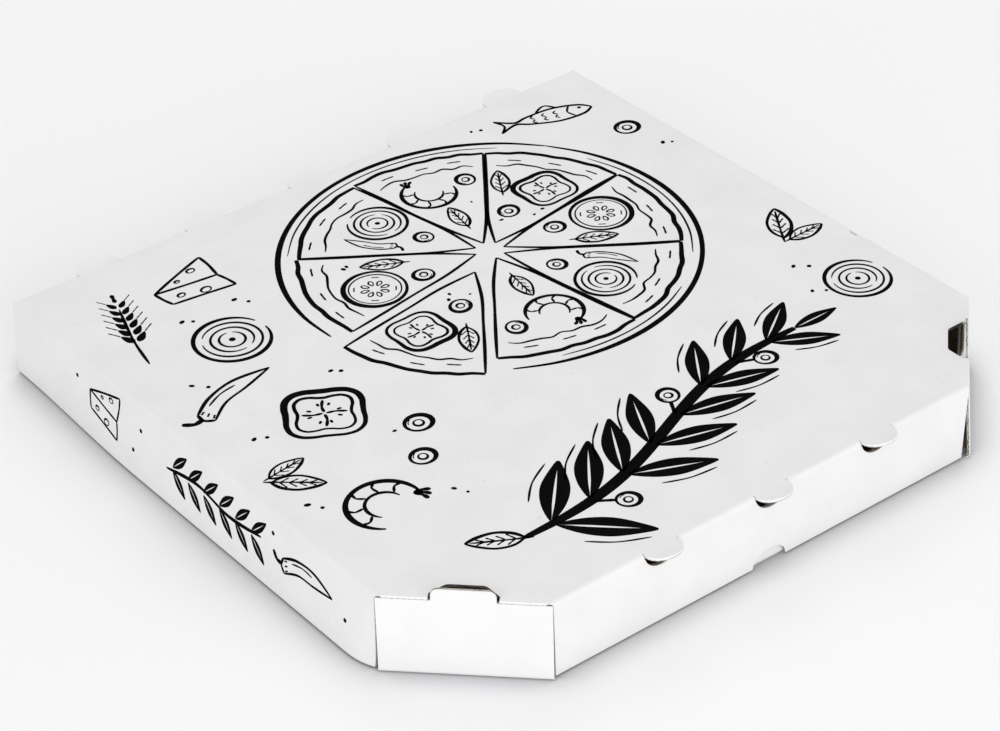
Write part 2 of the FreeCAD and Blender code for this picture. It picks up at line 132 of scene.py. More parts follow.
class Shader:
    """One material's node tree, with a Principled shader on its output."""

    def __init__(self, name: str) -> None:
        """Start an empty material of that name.

        Args:
            name: The material's name.
        """
        self.material = bpy.data.materials.new(name)
        self.material.use_nodes = True
        self.tree = self.material.node_tree
        self.tree.nodes.clear()
        self.surface = self.node("ShaderNodeBsdfPrincipled")
        output = self.node("ShaderNodeOutputMaterial")
        self.tree.links.new(self.surface.outputs[0], output.inputs["Surface"])

    def node(self, kind: str, settings: Optional[dict] = None,
             inputs: Optional[dict] = None) -> bpy.types.Node:
        """Add a node.

        Args:
            kind: The node's type.
            settings: Its properties, set first.
            inputs: Values, sockets or Values for its inputs, by name or number.

        Returns:
            The new node.
        """
        made = self.tree.nodes.new(kind)
        for key, value in (settings or {}).items():
            setattr(made, key, value)
        for key, value in (inputs or {}).items():
            self.feed(made.inputs[key], value)
        return made

    def feed(self, target: bpy.types.NodeSocket, value: object) -> None:
        """Link a socket or a Value to an input, or set a plain number or colour on it.

        Args:
            target: The input.
            value: What goes into it.
        """
        if isinstance(value, Value):
            self.tree.links.new(value.socket, target)
        elif isinstance(value, bpy.types.NodeSocket):
            self.tree.links.new(value, target)
        else:
            target.default_value = value

    def noise(self, scale: float, detail: float = 3.0,
              stretch: tuple[float, float, float] = (1, 1, 1)) -> Value:
        """Noise in the object's own space.

        Args:
            scale: Features per metre.
            detail: Octaves of detail.
            stretch: How much denser the noise is along each axis.

        Returns:
            A value from 0 to 1, mostly near a half.
        """
        place = self.node("ShaderNodeTexCoord").outputs["Object"]
        mapped = self.node("ShaderNodeMapping", None, {"Vector": place, "Scale": stretch})
        made = self.node("ShaderNodeTexNoise", {"noise_dimensions": "3D"},
                         {"Vector": mapped.outputs[0], "Scale": scale, "Detail": detail})
        return Value(self, made.outputs[0])

    def ramp(self, value: Value, low: float, high: float) -> Value:
        """Stretch a value, with soft ends.

        Args:
            value: The value.
            low: Where the result is 0.
            high: Where the result is 1.

        Returns:
            The stretched value.
        """
        made = self.node("ShaderNodeMapRange", {"interpolation_type": "SMOOTHSTEP"},
                         {"Value": value, "From Min": low, "From Max": high})
        return Value(self, made.outputs[0])

    def board_place(self) -> tuple[Value, Value]:
        """Where a point lies on the board.

        Returns:
            The place across the flutes, in flutes, and the share of the thickness from the white liner.
        """
        uv = self.node("ShaderNodeUVMap", {"uv_map": UV_NAME})
        split = self.node("ShaderNodeSeparateXYZ", None, {0: uv.outputs[0]})
        return Value(self, split.outputs[0]), Value(self, split.outputs[1])

    def mix(self, share: "Value | float", first: object, second: object) -> bpy.types.NodeSocket:
        """Mix two colours.

        Args:
            share: Share of the second.
            first: Colour at 0.
            second: Colour at 1.

        Returns:
            The mixed colour.
        """
        made = self.node("ShaderNodeMix", {"data_type": "RGBA"})
        self.feed(made.inputs["Factor"], share)
        self.feed(made.inputs[MIX_FIRST], first)
        self.feed(made.inputs[MIX_SECOND], second)
        return made.outputs[MIX_RESULT]

    def bump(self, height: Value, distance: float, strength: float = 1.0) -> bpy.types.NodeSocket:
        """Turn a height into a normal.

        Args:
            height: The height, from 0 to 1.
            distance: The real depth that it stands for.
            strength: How much of it is felt.

        Returns:
            The normal.
        """
        made = self.node("ShaderNodeBump", None,
                         {"Strength": strength, "Distance": distance, "Height": height})
        return made.outputs[0]

    def finish(self, colour: object, roughness: object, normal: object = None,
               specular: float = 0.5) -> bpy.types.Material:
        """Give the surface its looks.

        Args:
            colour: Its colour.
            roughness: Its roughness.
            normal: Its bumped normal, if it has one.
            specular: Its gloss level.

        Returns:
            The finished material.
        """
        self.surface.inputs["Specular IOR Level"].default_value = specular
        self.feed(self.surface.inputs["Base Color"], colour)
        self.feed(self.surface.inputs["Roughness"], roughness)
        if normal is not None:
            self.feed(self.surface.inputs["Normal"], normal)
        return self.material


@dataclass(frozen=True)
class LinerFinish:
    """A paper liner: the white outside or the kraft inside of the board."""

    name: str
    colour: Colour
    shade: Colour
    fleck: Colour
    fleck_limit: float
    roughness: float
    washboard: float
    mottle_scale: float = 45.0
    mottle_limits: Point = (0.3, 0.7)
    fibre_scale: float = 900.0
    fibre_height: float = 0.35
    fleck_scale: float = 540.0
    fleck_edge: float = 0.04
    cloud_rough: float = 0.06
    fibre_rough: float = 0.08
    bump_depth: float = 0.03 * MM
    bump_strength: float = 0.8

    def material(self) -> bpy.types.Material:
        """Build the liner's material.

        Returns:
            A paper material with cloudy mottling, fibres, flecks and the flutes' faint ridges.
        """
        shader = Shader(self.name)
        across, _ = shader.board_place()
        cloud = shader.ramp(shader.noise(self.mottle_scale, 4.0), *self.mottle_limits)
        fibre = shader.noise(self.fibre_scale, 3.0, (0.25, 1.0, 1.0))
        specks = shader.noise(self.fleck_scale, 2.0, (0.5, 1.0, 1.0))
        flecks = shader.ramp(specks, self.fleck_limit, self.fleck_limit + self.fleck_edge)
        paper = shader.mix(cloud, self.colour, self.shade)
        paper = shader.mix(flecks, paper, self.fleck)
        ridges = (across * (2 * math.pi)).sine()
        height = ridges * self.washboard + fibre * self.fibre_height
        rough = cloud * self.cloud_rough + fibre * self.fibre_rough + self.roughness
        return shader.finish(paper, rough, shader.bump(height, self.bump_depth, self.bump_strength))


@dataclass(frozen=True)
class RawEdgeFinish:
    """A cut edge of board: two liners with a wave of fluting paper, and painted shade in the hollows between
    them.
    """

    name: str
    white: Colour
    fluting: Colour
    kraft: Colour
    # Colour of the painted shade inside the flutes' hollows.
    painted_hollow_shade: Colour
    white_share: float = 0.36
    kraft_share: float = 0.16
    wave_share: float = 0.26
    flute_share: float = 0.15
    soft: float = 0.05
    fray: float = 0.22
    crush_scale: float = 170.0
    fray_scale: float = 420.0
    closed_limits: Point = (0.50, 0.62)
    closed_share: float = 0.85
    roughness: float = 0.85
    bump_depth: float = 0.15 * MM
    bump_strength: float = 0.7

    def material(self) -> bpy.types.Material:
        """Build the edge's material.

        Returns:
            A material that draws the board's section from its place on the sheet.
        """
        shader = Shader(self.name)
        across, depth = shader.board_place()
        waver = shader.noise(self.fray_scale, 2.0) - 0.5
        crush = shader.noise(self.crush_scale, 2.0)
        phase = (across + waver * self.fray) * (2 * math.pi)
        middle = (1 + self.white_share - self.kraft_share) / 2
        off_wave = abs(depth - (phase.sine() * self.wave_share + middle) + waver * self.fray)
        flute = shader.ramp(off_wave, self.flute_share + self.soft, self.flute_share - self.soft)
        torn = depth + (crush - 0.5) * 2 * self.fray + waver * self.fray
        outer = shader.ramp(torn, self.white_share + self.soft, self.white_share - self.soft)
        inner = shader.ramp(torn, 1 - self.kraft_share - self.soft, 1 - self.kraft_share + self.soft)
        closed = shader.ramp(crush, *self.closed_limits)
        solid = flute.most(closed * self.closed_share)
        # Painted shade: off the fluting, the hollows take the dark colour that stands in for the shade
        # inside the channels.
        paper = shader.mix(solid, self.painted_hollow_shade, self.fluting)
        paper = shader.mix(inner, paper, self.kraft)
        paper = shader.mix(outer, paper, self.white)
        raised = solid.most(outer).most(inner)
        return shader.finish(paper, self.roughness, shader.bump(raised, self.bump_depth, self.bump_strength))


@dataclass(frozen=True)
class InkFinish:
    """Black water ink on the white liner, a little thin where the paper's fibres stand up."""

    name: str
    ink: Colour
    thin: Colour
    gloss: float = 0.0
    grain_scale: float = 1400.0
    grain_share: float = 0.6
    cloud_scale: float = 120.0
    cloud_share: float = 0.4
    thin_limits: Point = (0.56, 0.72)
    roughness: float = 0.6
    cloud_rough: float = 0.15
    bump_depth: float = 0.01 * MM
    bump_strength: float = 0.5

    def material(self) -> bpy.types.Material:
        """Build the ink's material.

        Returns:
            A matt black with faint mottling and the paper's grain.
        """
        shader = Shader(self.name)
        grain = shader.noise(self.grain_scale)
        cloud = shader.noise(self.cloud_scale)
        thin = shader.ramp(grain * self.grain_share + cloud * self.cloud_share, *self.thin_limits)
        colour = shader.mix(thin, self.ink, self.thin)
        rough = cloud * self.cloud_rough + self.roughness
        normal = shader.bump(grain, self.bump_depth, self.bump_strength)
        return shader.finish(colour, rough, normal, self.gloss)


@dataclass(frozen=True)
class FloorFinish:
    """The pale studio floor, with a painted contact shadow that darkens it close to what stands on it."""

    colour: Colour = (0.897, 0.90, 0.907, 1.0)
    cloud: Colour = (0.86, 0.865, 0.88, 1.0)
    # foot: the colour of the painted contact shadow next to the box.
    foot: Colour = (0.44, 0.44, 0.45, 1.0)
    painted_shadow_reach: float = 0.021
    painted_shadow_limits: Point = (0.30, 1.0)
    samples: int = 16
    cloud_scale: float = 3.0
    cloud_share: float = 0.04
    roughness: float = 0.9

    def material(self) -> bpy.types.Material:
        """Build the floor's material.

        Returns:
            A plain matt material with a trace of cloud and a soft painted contact shadow.
        """
        shader = Shader("studio_floor")
        cloud = shader.noise(self.cloud_scale, 2.0) * self.cloud_share
        colour = shader.mix(cloud, self.colour, self.cloud)
        # Painted shadow: ambient occlusion near the box mixes the floor's colour towards the painted shadow
        # colour.
        near = shader.node("ShaderNodeAmbientOcclusion", {"samples": self.samples, "only_local": False},
                           {"Distance": self.painted_shadow_reach})
        open_sky = shader.ramp(Value(shader, near.outputs["AO"]), *self.painted_shadow_limits)
        return shader.finish(shader.mix(open_sky, self.foot, colour), self.roughness)


@dataclass(frozen=True)
class Finishes:
    """Every finish on the box."""

    white: LinerFinish = LinerFinish("white_liner", (0.768, 0.768, 0.773, 1), (0.74, 0.74, 0.746, 1),
                                     (0.65, 0.64, 0.63, 1), 0.74, 0.52, 0.5)
    kraft: LinerFinish = LinerFinish("kraft_liner", (0.45, 0.35, 0.25, 1), (0.38, 0.29, 0.20, 1),
                                     (0.22, 0.15, 0.09, 1), 0.66, 0.68, 0.9)
    raw: RawEdgeFinish = RawEdgeFinish("raw_edge", (0.74, 0.735, 0.73, 1), (0.42, 0.41, 0.39, 1),
                                       (0.42, 0.37, 0.31, 1), (0.05, 0.045, 0.04, 1))
    crushed: RawEdgeFinish = RawEdgeFinish("crushed_edge", (0.77, 0.768, 0.765, 1), (0.62, 0.61, 0.59, 1),
                                           (0.55, 0.51, 0.46, 1), (0.30, 0.29, 0.27, 1), white_share=0.74,
                                           kraft_share=0.08, fray=0.12)
    # The notches' cut edges: the cut edge's colours darkened throughout, painted shade over open flutes.
    open_painted_shade: RawEdgeFinish = RawEdgeFinish("open_edge_painted_shade", (0.30, 0.295, 0.29, 1), (0.17, 0.165, 0.16, 1),
                                          (0.13, 0.115, 0.10, 1), (0.02, 0.018, 0.016, 1), white_share=0.18,
                                          fray=0.32)
    ink: InkFinish = InkFinish("black_print", (0.004, 0.004, 0.0045, 1), (0.012, 0.012, 0.0125, 1))


@dataclass
class BoardMesh:
    """A piece of board in the making: its vertices, faces, finishes and places on the sheet."""

    name: str
    thickness: float
    pitch: float
    vertices: list[Vector] = field(default_factory=list)
    faces: list[tuple[int, ...]] = field(default_factory=list)
    finishes: list[Face] = field(default_factory=list)
    places: list[tuple[Point, ...]] = field(default_factory=list)

    def add_face(self, corners: Sequence[int], finish: Face, places: Sequence[Point]) -> None:
        """Add one face with its finish and its corners' places on the sheet.

        Args:
            corners: Numbers of its vertices.
            finish: Its finish.
            places: Its corners' places on the sheet.
        """
        self.faces.append(tuple(corners))
        self.finishes.append(finish)
        self.places.append(tuple(places))

    def panel(self, outline: list[Point], place: Place, flute: Flute,
              holes: Sequence[list[Point]] = (), outer: Face = Face.WHITE, inner: Face = Face.KRAFT,
              open_rim: Sequence[Point] = ()) -> None:
        """Add a flat panel.

        Args:
            outline: Its corners in its own plane.
            place: Turns a place in the plane, and a depth from the outer face, into a point in space.
            flute: Gives the place across the flutes, in metres, from a place in the plane.
            holes: Outlines of holes through it.
            outer: Finish of the face at depth 0.
            inner: Finish of the other face.
            open_rim: Corners between which the cut edge shows open flutes, darkened all over with painted
                shade.
        """
        loops = [outline, *holes]
        flat = [point for loop in loops for point in loop]
        first = len(self.vertices)
        for depth in (0.0, self.thickness):
            self.vertices += [place(a, b, depth) for a, b in flat]
        count = len(flat)
        for corner in tessellate_polygon([[Vector((a, b, 0)) for a, b in loop] for loop in loops]):
            spots = [(flute(*flat[i]) / self.pitch, 0.5) for i in corner]
            self.add_face([first + i for i in corner], outer, spots)
            self.add_face([first + count + i for i in reversed(corner)], inner, list(reversed(spots)))
        start = 0
        for loop in loops:
            for i in range(len(loop)):
                j = (i + 1) % len(loop)
                one, two = start + i, start + j
                u1 = flute(*flat[one]) / self.pitch
                u2 = flute(*flat[two]) / self.pitch
                rim = Face.OPEN if flat[one] in open_rim and flat[two] in open_rim else Face.RAW
                self.add_face([first + one, first + two, first + count + two, first + count + one], rim,
                              [(u1, 0.0), (u2, 0.0), (u2, 1.0), (u1, 1.0)])
            start += len(loop)

    def grid(self, columns: int, rows: int, place: Place, flute: Flute) -> None:
        """Add a panel that may be bowed, as a grid.

        Args:
            columns: Cells along it.
            rows: Cells down it.
            place: Turns two shares from 0 to 1, and a depth from the outer face, into a point in space.
            flute: Gives the place across the flutes, in metres, from the two shares.
        """
        first = len(self.vertices)
        wide = columns + 1
        layer = wide * (rows + 1)
        for depth in (0.0, self.thickness):
            self.vertices += [place(c / columns, r / rows, depth)
                              for r in range(rows + 1) for c in range(wide)]

        def spot(c: int, r: int, share: float) -> Point:
            """A grid corner's place on the sheet."""
            return flute(c / columns, r / rows) / self.pitch, share

        for r in range(rows):
            for c in range(columns):
                around = [(c, r), (c + 1, r), (c + 1, r + 1), (c, r + 1)]
                corners = [first + y * wide + x for x, y in around]
                spots = [spot(x, y, 0.5) for x, y in around]
                self.add_face(corners, Face.WHITE, spots)
                self.add_face([i + layer for i in reversed(corners)], Face.KRAFT, list(reversed(spots)))
        rim = [(c, 0) for c in range(columns)] + [(columns, r) for r in range(rows)]
        rim += [(c, rows) for c in range(columns, 0, -1)] + [(0, r) for r in range(rows, 0, -1)]
        for i, (x1, y1) in enumerate(rim):
            x2, y2 = rim[(i + 1) % len(rim)]
            one, two = first + y1 * wide + x1, first + y2 * wide + x2
            self.add_face([one, two, two + layer, one + layer], Face.RAW,
                          [spot(x1, y1, 0.0), spot(x2, y2, 0.0), spot(x2, y2, 1.0), spot(x1, y1, 1.0)])

    def bend(self, start: Vector, end: Vector, normals: tuple[Vector, Vector], radius: float,
             flute: Callable[[Vector], float], sweep: float = math.pi / 2, steps: int = 8,
             mitres: Point = (0.0, 0.0), lap: float = 0.0) -> None:
        """Add a fold's rounded strip between two panels.

        Args:
            start: One end of the fold's inner axis.
            end: The other end.
            normals: The first panel's outer normal, and the direction that it turns to after a quarter turn.
            radius: Radius of the outer face.
            flute: Gives the place across the flutes, in metres, of a point on the fold.
            sweep: Angle of the fold.
            steps: Facets round it.
            mitres: How much the start and the end are cut back a quarter turn on.
            lap: How far the strip runs on into both panels, as an angle.
        """
        first = len(self.vertices)
        inner_radius = max(radius - self.thickness, 0.02 * MM)
        along = (end - start).normalized()
        for i in range(steps + 1):
            angle = (sweep + 2 * lap) * i / steps - lap
            out = normals[0] * math.cos(angle) + normals[1] * math.sin(angle)
            cut = math.sin(angle)
            for base in (start + along * (mitres[0] * cut), end - along * (mitres[1] * cut)):
                for reach in (radius, inner_radius):
                    self.vertices.append(base + out * reach)
        lows, highs = flute(start) / self.pitch, flute(end) / self.pitch
        for i in range(steps):
            a = first + 4 * i
            b = a + 4
            self.add_face([a, b, b + 2, a + 2], Face.WHITE,
                          [(lows, 0.5), (lows, 0.5), (highs, 0.5), (highs, 0.5)])
            self.add_face([a + 1, a + 3, b + 3, b + 1], Face.KRAFT,
                          [(lows, 0.5), (highs, 0.5), (highs, 0.5), (lows, 0.5)])
            self.add_face([a, a + 1, b + 1, b], Face.RAW,
                          [(lows, 0.0), (lows, 1.0), (lows, 1.0), (lows, 0.0)])
            self.add_face([a + 2, b + 2, b + 3, a + 3], Face.RAW,
                          [(highs, 0.0), (highs, 0.0), (highs, 1.0), (highs, 1.0)])
        for a in (first, first + 4 * steps):
            self.add_face([a, a + 2, a + 3, a + 1], Face.RAW,
                          [(lows, 0.0), (highs, 0.0), (highs, 1.0), (lows, 1.0)])

    def build(self, materials: dict[Face, bpy.types.Material]) -> bpy.types.Object:
        """Make the Blender object.

        Args:
            materials: The material of each finish.

        Returns:
            The object, linked into the scene.
        """
        mesh = bpy.data.meshes.new(self.name)
        mesh.from_pydata(self.vertices, [], self.faces)
        for face in Face:
            mesh.materials.append(materials[face])
        layer = mesh.uv_layers.new(name=UV_NAME)
        for polygon, finish, places in zip(mesh.polygons, self.finishes, self.places):
            polygon.material_index = finish.value
            for loop, spot in zip(polygon.loop_indices, places):
                layer.data[loop].uv = spot
        body = bmesh.new()
        body.from_mesh(mesh)
        bmesh.ops.recalc_face_normals(body, faces=body.faces)
        body.to_mesh(mesh)
        body.free()
        mesh.shade_smooth()
        mesh.set_sharp_from_angle(angle=SHARP_ANGLE)
        made = bpy.data.objects.new(self.name, mesh)
        bpy.context.scene.collection.objects.link(made)
        return made


def half_moon(centre: float, width: float, reach: float, steps: int = 20) -> list[Point]:
    """A half ellipse over the line b = 0.

    Args:
        centre: Its middle.
        width: Its width.
        reach: Height of its nose.
        steps: Pieces round it.

    Returns:
        Points from its left end to its right end.
    """
    points = []
    for i in range(steps + 1):
        angle = math.pi - math.pi * i / steps
        points.append((centre + width / 2 * math.cos(angle), reach * math.sin(angle)))
    return points


def rounded(points: Sequence[Point], radius: float, steps: int = 6) -> list[Point]:
    """A line whose inner corners are rounded off.

    Args:
        points: The line's ends and corners.
        radius: How far from a corner the curve starts.
        steps: Pieces round a corner.

    Returns:
        The line's points with a parabola at each corner.
    """
    line = [points[0]]
    for i in range(1, len(points) - 1):
        corner = Vector(points[i])
        start = corner + (Vector(points[i - 1]) - corner).normalized() * radius
        end = corner + (Vector(points[i + 1]) - corner).normalized() * radius
        for j in range(steps + 1):
            t = j / steps
            line.append(tuple(start * (1 - t) ** 2 + corner * (2 * t * (1 - t)) + end * t ** 2))
    return line + [points[-1]]


def smooth_step(value: float) -> float:
    """A soft rise from 0 to 1 over that range."""
    value = min(max(value, 0.0), 1.0)
    return value * value * (3 - 2 * value)


def spread(count: int, pitch: float) -> list[float]:
    """Places evenly spaced about zero."""
    return [(i - (count - 1) / 2) * pitch for i in range(count)]


def spans(low: float, high: float, cuts: Sequence[tuple[float, float]]) -> list[tuple[float, float]]:
    """The stretches from low to high that the cuts leave.

    Args:
        low: Start of the first stretch.
        high: End of the last stretch.
        cuts: The cuts, in order.

    Returns:
        The stretches.
    """
    ends = [low]
    for cut_low, cut_high in cuts:
        ends += [cut_low, cut_high]
    ends.append(high)
    return [(ends[i], ends[i + 1]) for i in range(0, len(ends), 2)]


@dataclass
class Sizes:
    """The box's sizes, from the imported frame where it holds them."""

    lid_box: tuple[Vector, Vector] = field(default_factory=lambda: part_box("lid_panel"))
    tray_box: tuple[Vector, Vector] = field(default_factory=lambda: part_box("base_tray"))
    flap_box: tuple[Vector, Vector] = field(default_factory=lambda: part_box("front_flap"))
    pitch: float = 3.6 * MM
    fold: float = 2.0 * MM
    clearance: float = 0.3 * MM
    flap_end_gap: float = 1.2 * MM
    moon_pitch: float = 63.0 * MM
    front_moon_width: float = 18.7 * MM
    front_moon_shift: float = 1.0 * MM
    back_moon_width: float = 23.0 * MM
    moon_kerf: float = 0.4 * MM
    moon_tip_kerf: float = 0.6 * MM
    front_moons: int = 3
    back_moons: int = 5

    @property
    def half_width(self) -> float:
        """Half of the width over the walls."""
        return self.lid_box[1].x

    @property
    def half_depth(self) -> float:
        """Half of the depth over the walls."""
        return self.tray_box[1].y

    @property
    def height(self) -> float:
        """Height of the lid's top."""
        return self.lid_box[1].z

    @property
    def board(self) -> float:
        """The board's thickness."""
        return self.lid_box[1].z - self.lid_box[0].z

    @property
    def moon_reach(self) -> float:
        """How far the half-moon tabs stand out."""
        return self.lid_box[1].y - self.half_depth

    @property
    def leg(self) -> float:
        """Leg of each cut corner."""
        return self.half_width - self.flap_end_gap - self.flap_box[1].x

    @property
    def wall_top(self) -> float:
        """Height of the walls under the lid."""
        return self.lid_box[0].z - self.clearance

    def front_moon_places(self) -> list[float]:
        """Middles of the front half-moons."""
        return [x + self.front_moon_shift for x in spread(self.front_moons, self.moon_pitch)]

    def back_moon_places(self) -> list[float]:
        """Middles of the back half-moons."""
        return spread(self.back_moons, self.moon_pitch)

    def moon_cuts(self, back: bool) -> list[tuple[float, float]]:
        """Where the half-moons part the front or the back fold.

        Args:
            back: Whether the back fold is meant.

        Returns:
            The cuts along x, in order.
        """
        width = self.back_moon_width if back else self.front_moon_width
        places = self.back_moon_places() if back else self.front_moon_places()
        reach = width / 2 + self.moon_kerf
        return [(x - reach, x + reach) for x in places]


@dataclass
class Tray:
    """The floor and its walls, one folded sheet."""

    sizes: Sizes
    corner_slit: float = 0.9 * MM
    roll_setback: float = 8.5 * MM
    lock_width: float = 32.0 * MM
    dust_flap_length: float = 46.0 * MM
    dust_flap_drop: float = 2.0 * MM
    dust_flap_taper: float = 8.0 * MM
    tab_width: float = 28.0 * MM
    tab_radius: float = 3.3 * MM
    vent_margin: float = 3.4 * MM
    corner_lean: float = 2.4 * MM
    touch: float = 0.05 * MM
    tab_settle: float = 0.8 * MM
    roll_corner_share: float = 0.8
    roll_steps: int = 14
    tab_steps: int = 8

    def build(self, materials: dict[Face, bpy.types.Material]) -> bpy.types.Object:
        """Build the tray.

        Args:
            materials: The material of each finish.

        Returns:
            The tray's object.
        """
        mesh = BoardMesh("tray", self.sizes.board, self.sizes.pitch)
        self.add_floor(mesh)
        self.add_front_wall(mesh)
        for sign in (-1, 1):
            self.add_side_wall(mesh, sign)
            self.add_corner_wall(mesh, sign)
        self.add_back_wall(mesh)
        made = mesh.build(materials)
        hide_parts("base_tray")
        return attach(made, "base")

    @property
    def side_face(self) -> float:
        """Where the side walls' outer faces are."""
        return self.sizes.half_width - self.sizes.board - self.sizes.clearance

    @property
    def front_face(self) -> float:
        """Where the front wall's outer face is."""
        return self.sizes.half_depth - self.sizes.board - self.sizes.clearance

    @property
    def front_half(self) -> float:
        """Half of the front wall's length."""
        return self.sizes.half_width - self.sizes.leg - self.sizes.board - self.corner_slit

    @property
    def side_thick(self) -> float:
        """Thickness of a rolled side wall, with the dust flap between its plies."""
        return 3 * self.sizes.board + 2 * self.sizes.clearance

    @property
    def front_thick(self) -> float:
        """Thickness of the rolled front wall."""
        return 2 * self.sizes.board + self.sizes.clearance

    def slot(self, middle: float, inset: float) -> list[Point]:
        """A lock slot's outline.

        Args:
            middle: Its middle along the wall.
            inset: How far in the wall's inner ply ends.

        Returns:
            Places along the wall and in from its outer face.
        """
        half = self.lock_width / 2 + self.sizes.clearance
        near, far = inset - self.sizes.board - self.sizes.clearance, inset + self.sizes.clearance
        return [(middle - half, near), (middle + half, near), (middle + half, far), (middle - half, far)]

    def locks(self, low: float, high: float) -> list[float]:
        """Middles of the lock tabs on a wall whose inner ply runs from low to high."""
        quarter = (high - low) / 4
        return [low + quarter, high - quarter]

    def side_inner(self) -> tuple[float, float]:
        """Where a side wall's inner ply runs.

        Returns:
            Its front end and its back end, in y.
        """
        front = -(self.sizes.half_depth - self.sizes.leg) + self.sizes.board + self.corner_slit
        back = self.sizes.half_depth - self.sizes.board - self.sizes.clearance - self.corner_slit
        return front + self.roll_setback, back

    def add_floor(self, mesh: BoardMesh) -> None:
        """Add the floor with its lock slots.

        Args:
            mesh: The tray's mesh in the making.
        """
        fold = self.sizes.fold
        x, front, back = self.side_face - fold, self.front_face - fold, self.sizes.half_depth - fold
        cut = self.sizes.half_width + self.sizes.half_depth - self.sizes.leg
        cut += (self.corner_lean - fold) * math.sqrt(2)
        right = [(cut - front, -front), (x, -(cut - x)), (x, back)]
        outline = right + [(-a, b) for a, b in reversed(right)]
        holes = []
        inner = self.front_half - self.roll_setback
        for middle in self.locks(-inner, inner):
            holes.append([(a, b - self.front_face) for a, b in self.slot(middle, self.front_thick)])
        low, high = self.side_inner()
        for middle in self.locks(low, high):
            slot = self.slot(middle, self.side_thick)
            holes += [[(sign * (self.side_face - b), a) for a, b in slot] for sign in (-1, 1)]
        mesh.panel(outline, lambda a, b, c: Vector((a, b, c)), lambda a, b: b, holes)

    def inner_ply(self, low: float, high: float, top: float, cuts: Sequence[list[Point]]) -> list[Point]:
        """An inner ply's outline, with lock tabs at its foot and scoops in its top edge.

        Args:
            low: One end.
            high: The other end.
            top: Height of its top edge.
            cuts: The scoops' outlines.

        Returns:
            The outline.
        """
        tip = self.sizes.clearance
        foot = self.sizes.board + tip
        points = [(low, foot)]
        for middle in self.locks(low, high):
            left, right = middle - self.lock_width / 2, middle + self.lock_width / 2
            points += [(left, foot), (left, tip), (right, tip), (right, foot)]
        points += [(high, foot), (high, top)]
        for cut in reversed(cuts):
            points += list(reversed(cut))
        return points + [(low, top)]

    def add_front_wall(self, mesh: BoardMesh) -> None:
        """Add the front wall, rolled over, with a scoop behind each vent.

        Args:
            mesh: The tray's mesh in the making.
        """
        s = self.sizes
        half, face, top = self.front_half, self.front_face, s.wall_top
        inner, roll = half - self.roll_setback, self.front_thick / 2
        scoops, cuts = [], []
        for x in s.front_moon_places():
            width, reach = s.front_moon_width + 2 * self.vent_margin, s.moon_reach + self.vent_margin
            drop = s.height - (top - roll)
            moon = [(a, s.height - b) for a, b in half_moon(x, width, reach) if b > drop]
            edge = width / 2 * math.sqrt(1 - (drop / reach) ** 2)
            scoops.append([(x - edge, top - roll), *moon, (x + edge, top - roll)])
            cuts.append((x - width / 2, x + width / 2))
        outline = [(-half, s.fold), (half, s.fold), (half, top - roll)]
        for scoop in reversed(scoops):
            outline += list(reversed(scoop))
        outline.append((-half, top - roll))
        mesh.panel(outline, lambda a, b, c: Vector((a, -face + c, b)), lambda a, b: -face - b)
        mesh.bend(Vector((-half, -face + s.fold, s.fold)), Vector((half, -face + s.fold, s.fold)),
                  (Vector((0, 0, -1)), Vector((0, -1, 0))), s.fold, lambda p: p.y)
        for low, high in spans(-inner, inner, cuts):
            mesh.bend(Vector((low, -face + roll, top - roll)), Vector((high, -face + roll, top - roll)),
                      (Vector((0, -1, 0)), Vector((0, 0, 1))), roll, lambda p: p.y, math.pi,
                      self.roll_steps)
        ply = self.inner_ply(-inner, inner, top - roll, scoops)
        mesh.panel(ply, lambda a, b, c: Vector((a, -face + self.front_thick - c, b)),
                   lambda a, b: -face - 2 * top + b)

    def add_side_wall(self, mesh: BoardMesh, sign: int) -> None:
        """Add a side wall, rolled over the dust flap.

        Args:
            mesh: The tray's mesh in the making.
            sign: -1 for the left wall, 1 for the right one.
        """
        s = self.sizes
        face, top, thick = self.side_face, s.wall_top, self.side_thick
        low_in, high_in = self.side_inner()
        low, high = low_in - self.roll_setback, s.half_depth
        out = Vector((sign, 0, 0))
        up = Vector((0, 0, 1))
        corner = s.fold * self.roll_corner_share
        axis = face - s.fold
        mesh.panel([(low, s.fold), (high, s.fold), (high, top - corner), (low, top - corner)],
                   lambda a, b, c: Vector((sign * (face - c), a, b)), lambda a, b: a)
        mesh.bend(Vector((sign * axis, low, s.fold)), Vector((sign * axis, high - s.fold, s.fold)),
                  (-up, out), s.fold, lambda p: p.y)
        for depth, normals in ((corner, (out, up)), (thick - corner, (up, -out))):
            x = sign * (face - depth)
            mesh.bend(Vector((x, low_in, top - corner)), Vector((x, high_in, top - corner)), normals, corner,
                      lambda p: p.y)
        far = thick - corner
        mesh.panel([(low_in, corner), (high_in, corner), (high_in, far), (low_in, far)],
                   lambda a, b, c: Vector((sign * (face - b), a, top - c)), lambda a, b: a)
        ply = self.inner_ply(low_in, high_in, top - corner, [])
        mesh.panel(ply, lambda a, b, c: Vector((sign * (face - thick + c), a, b)), lambda a, b: a)

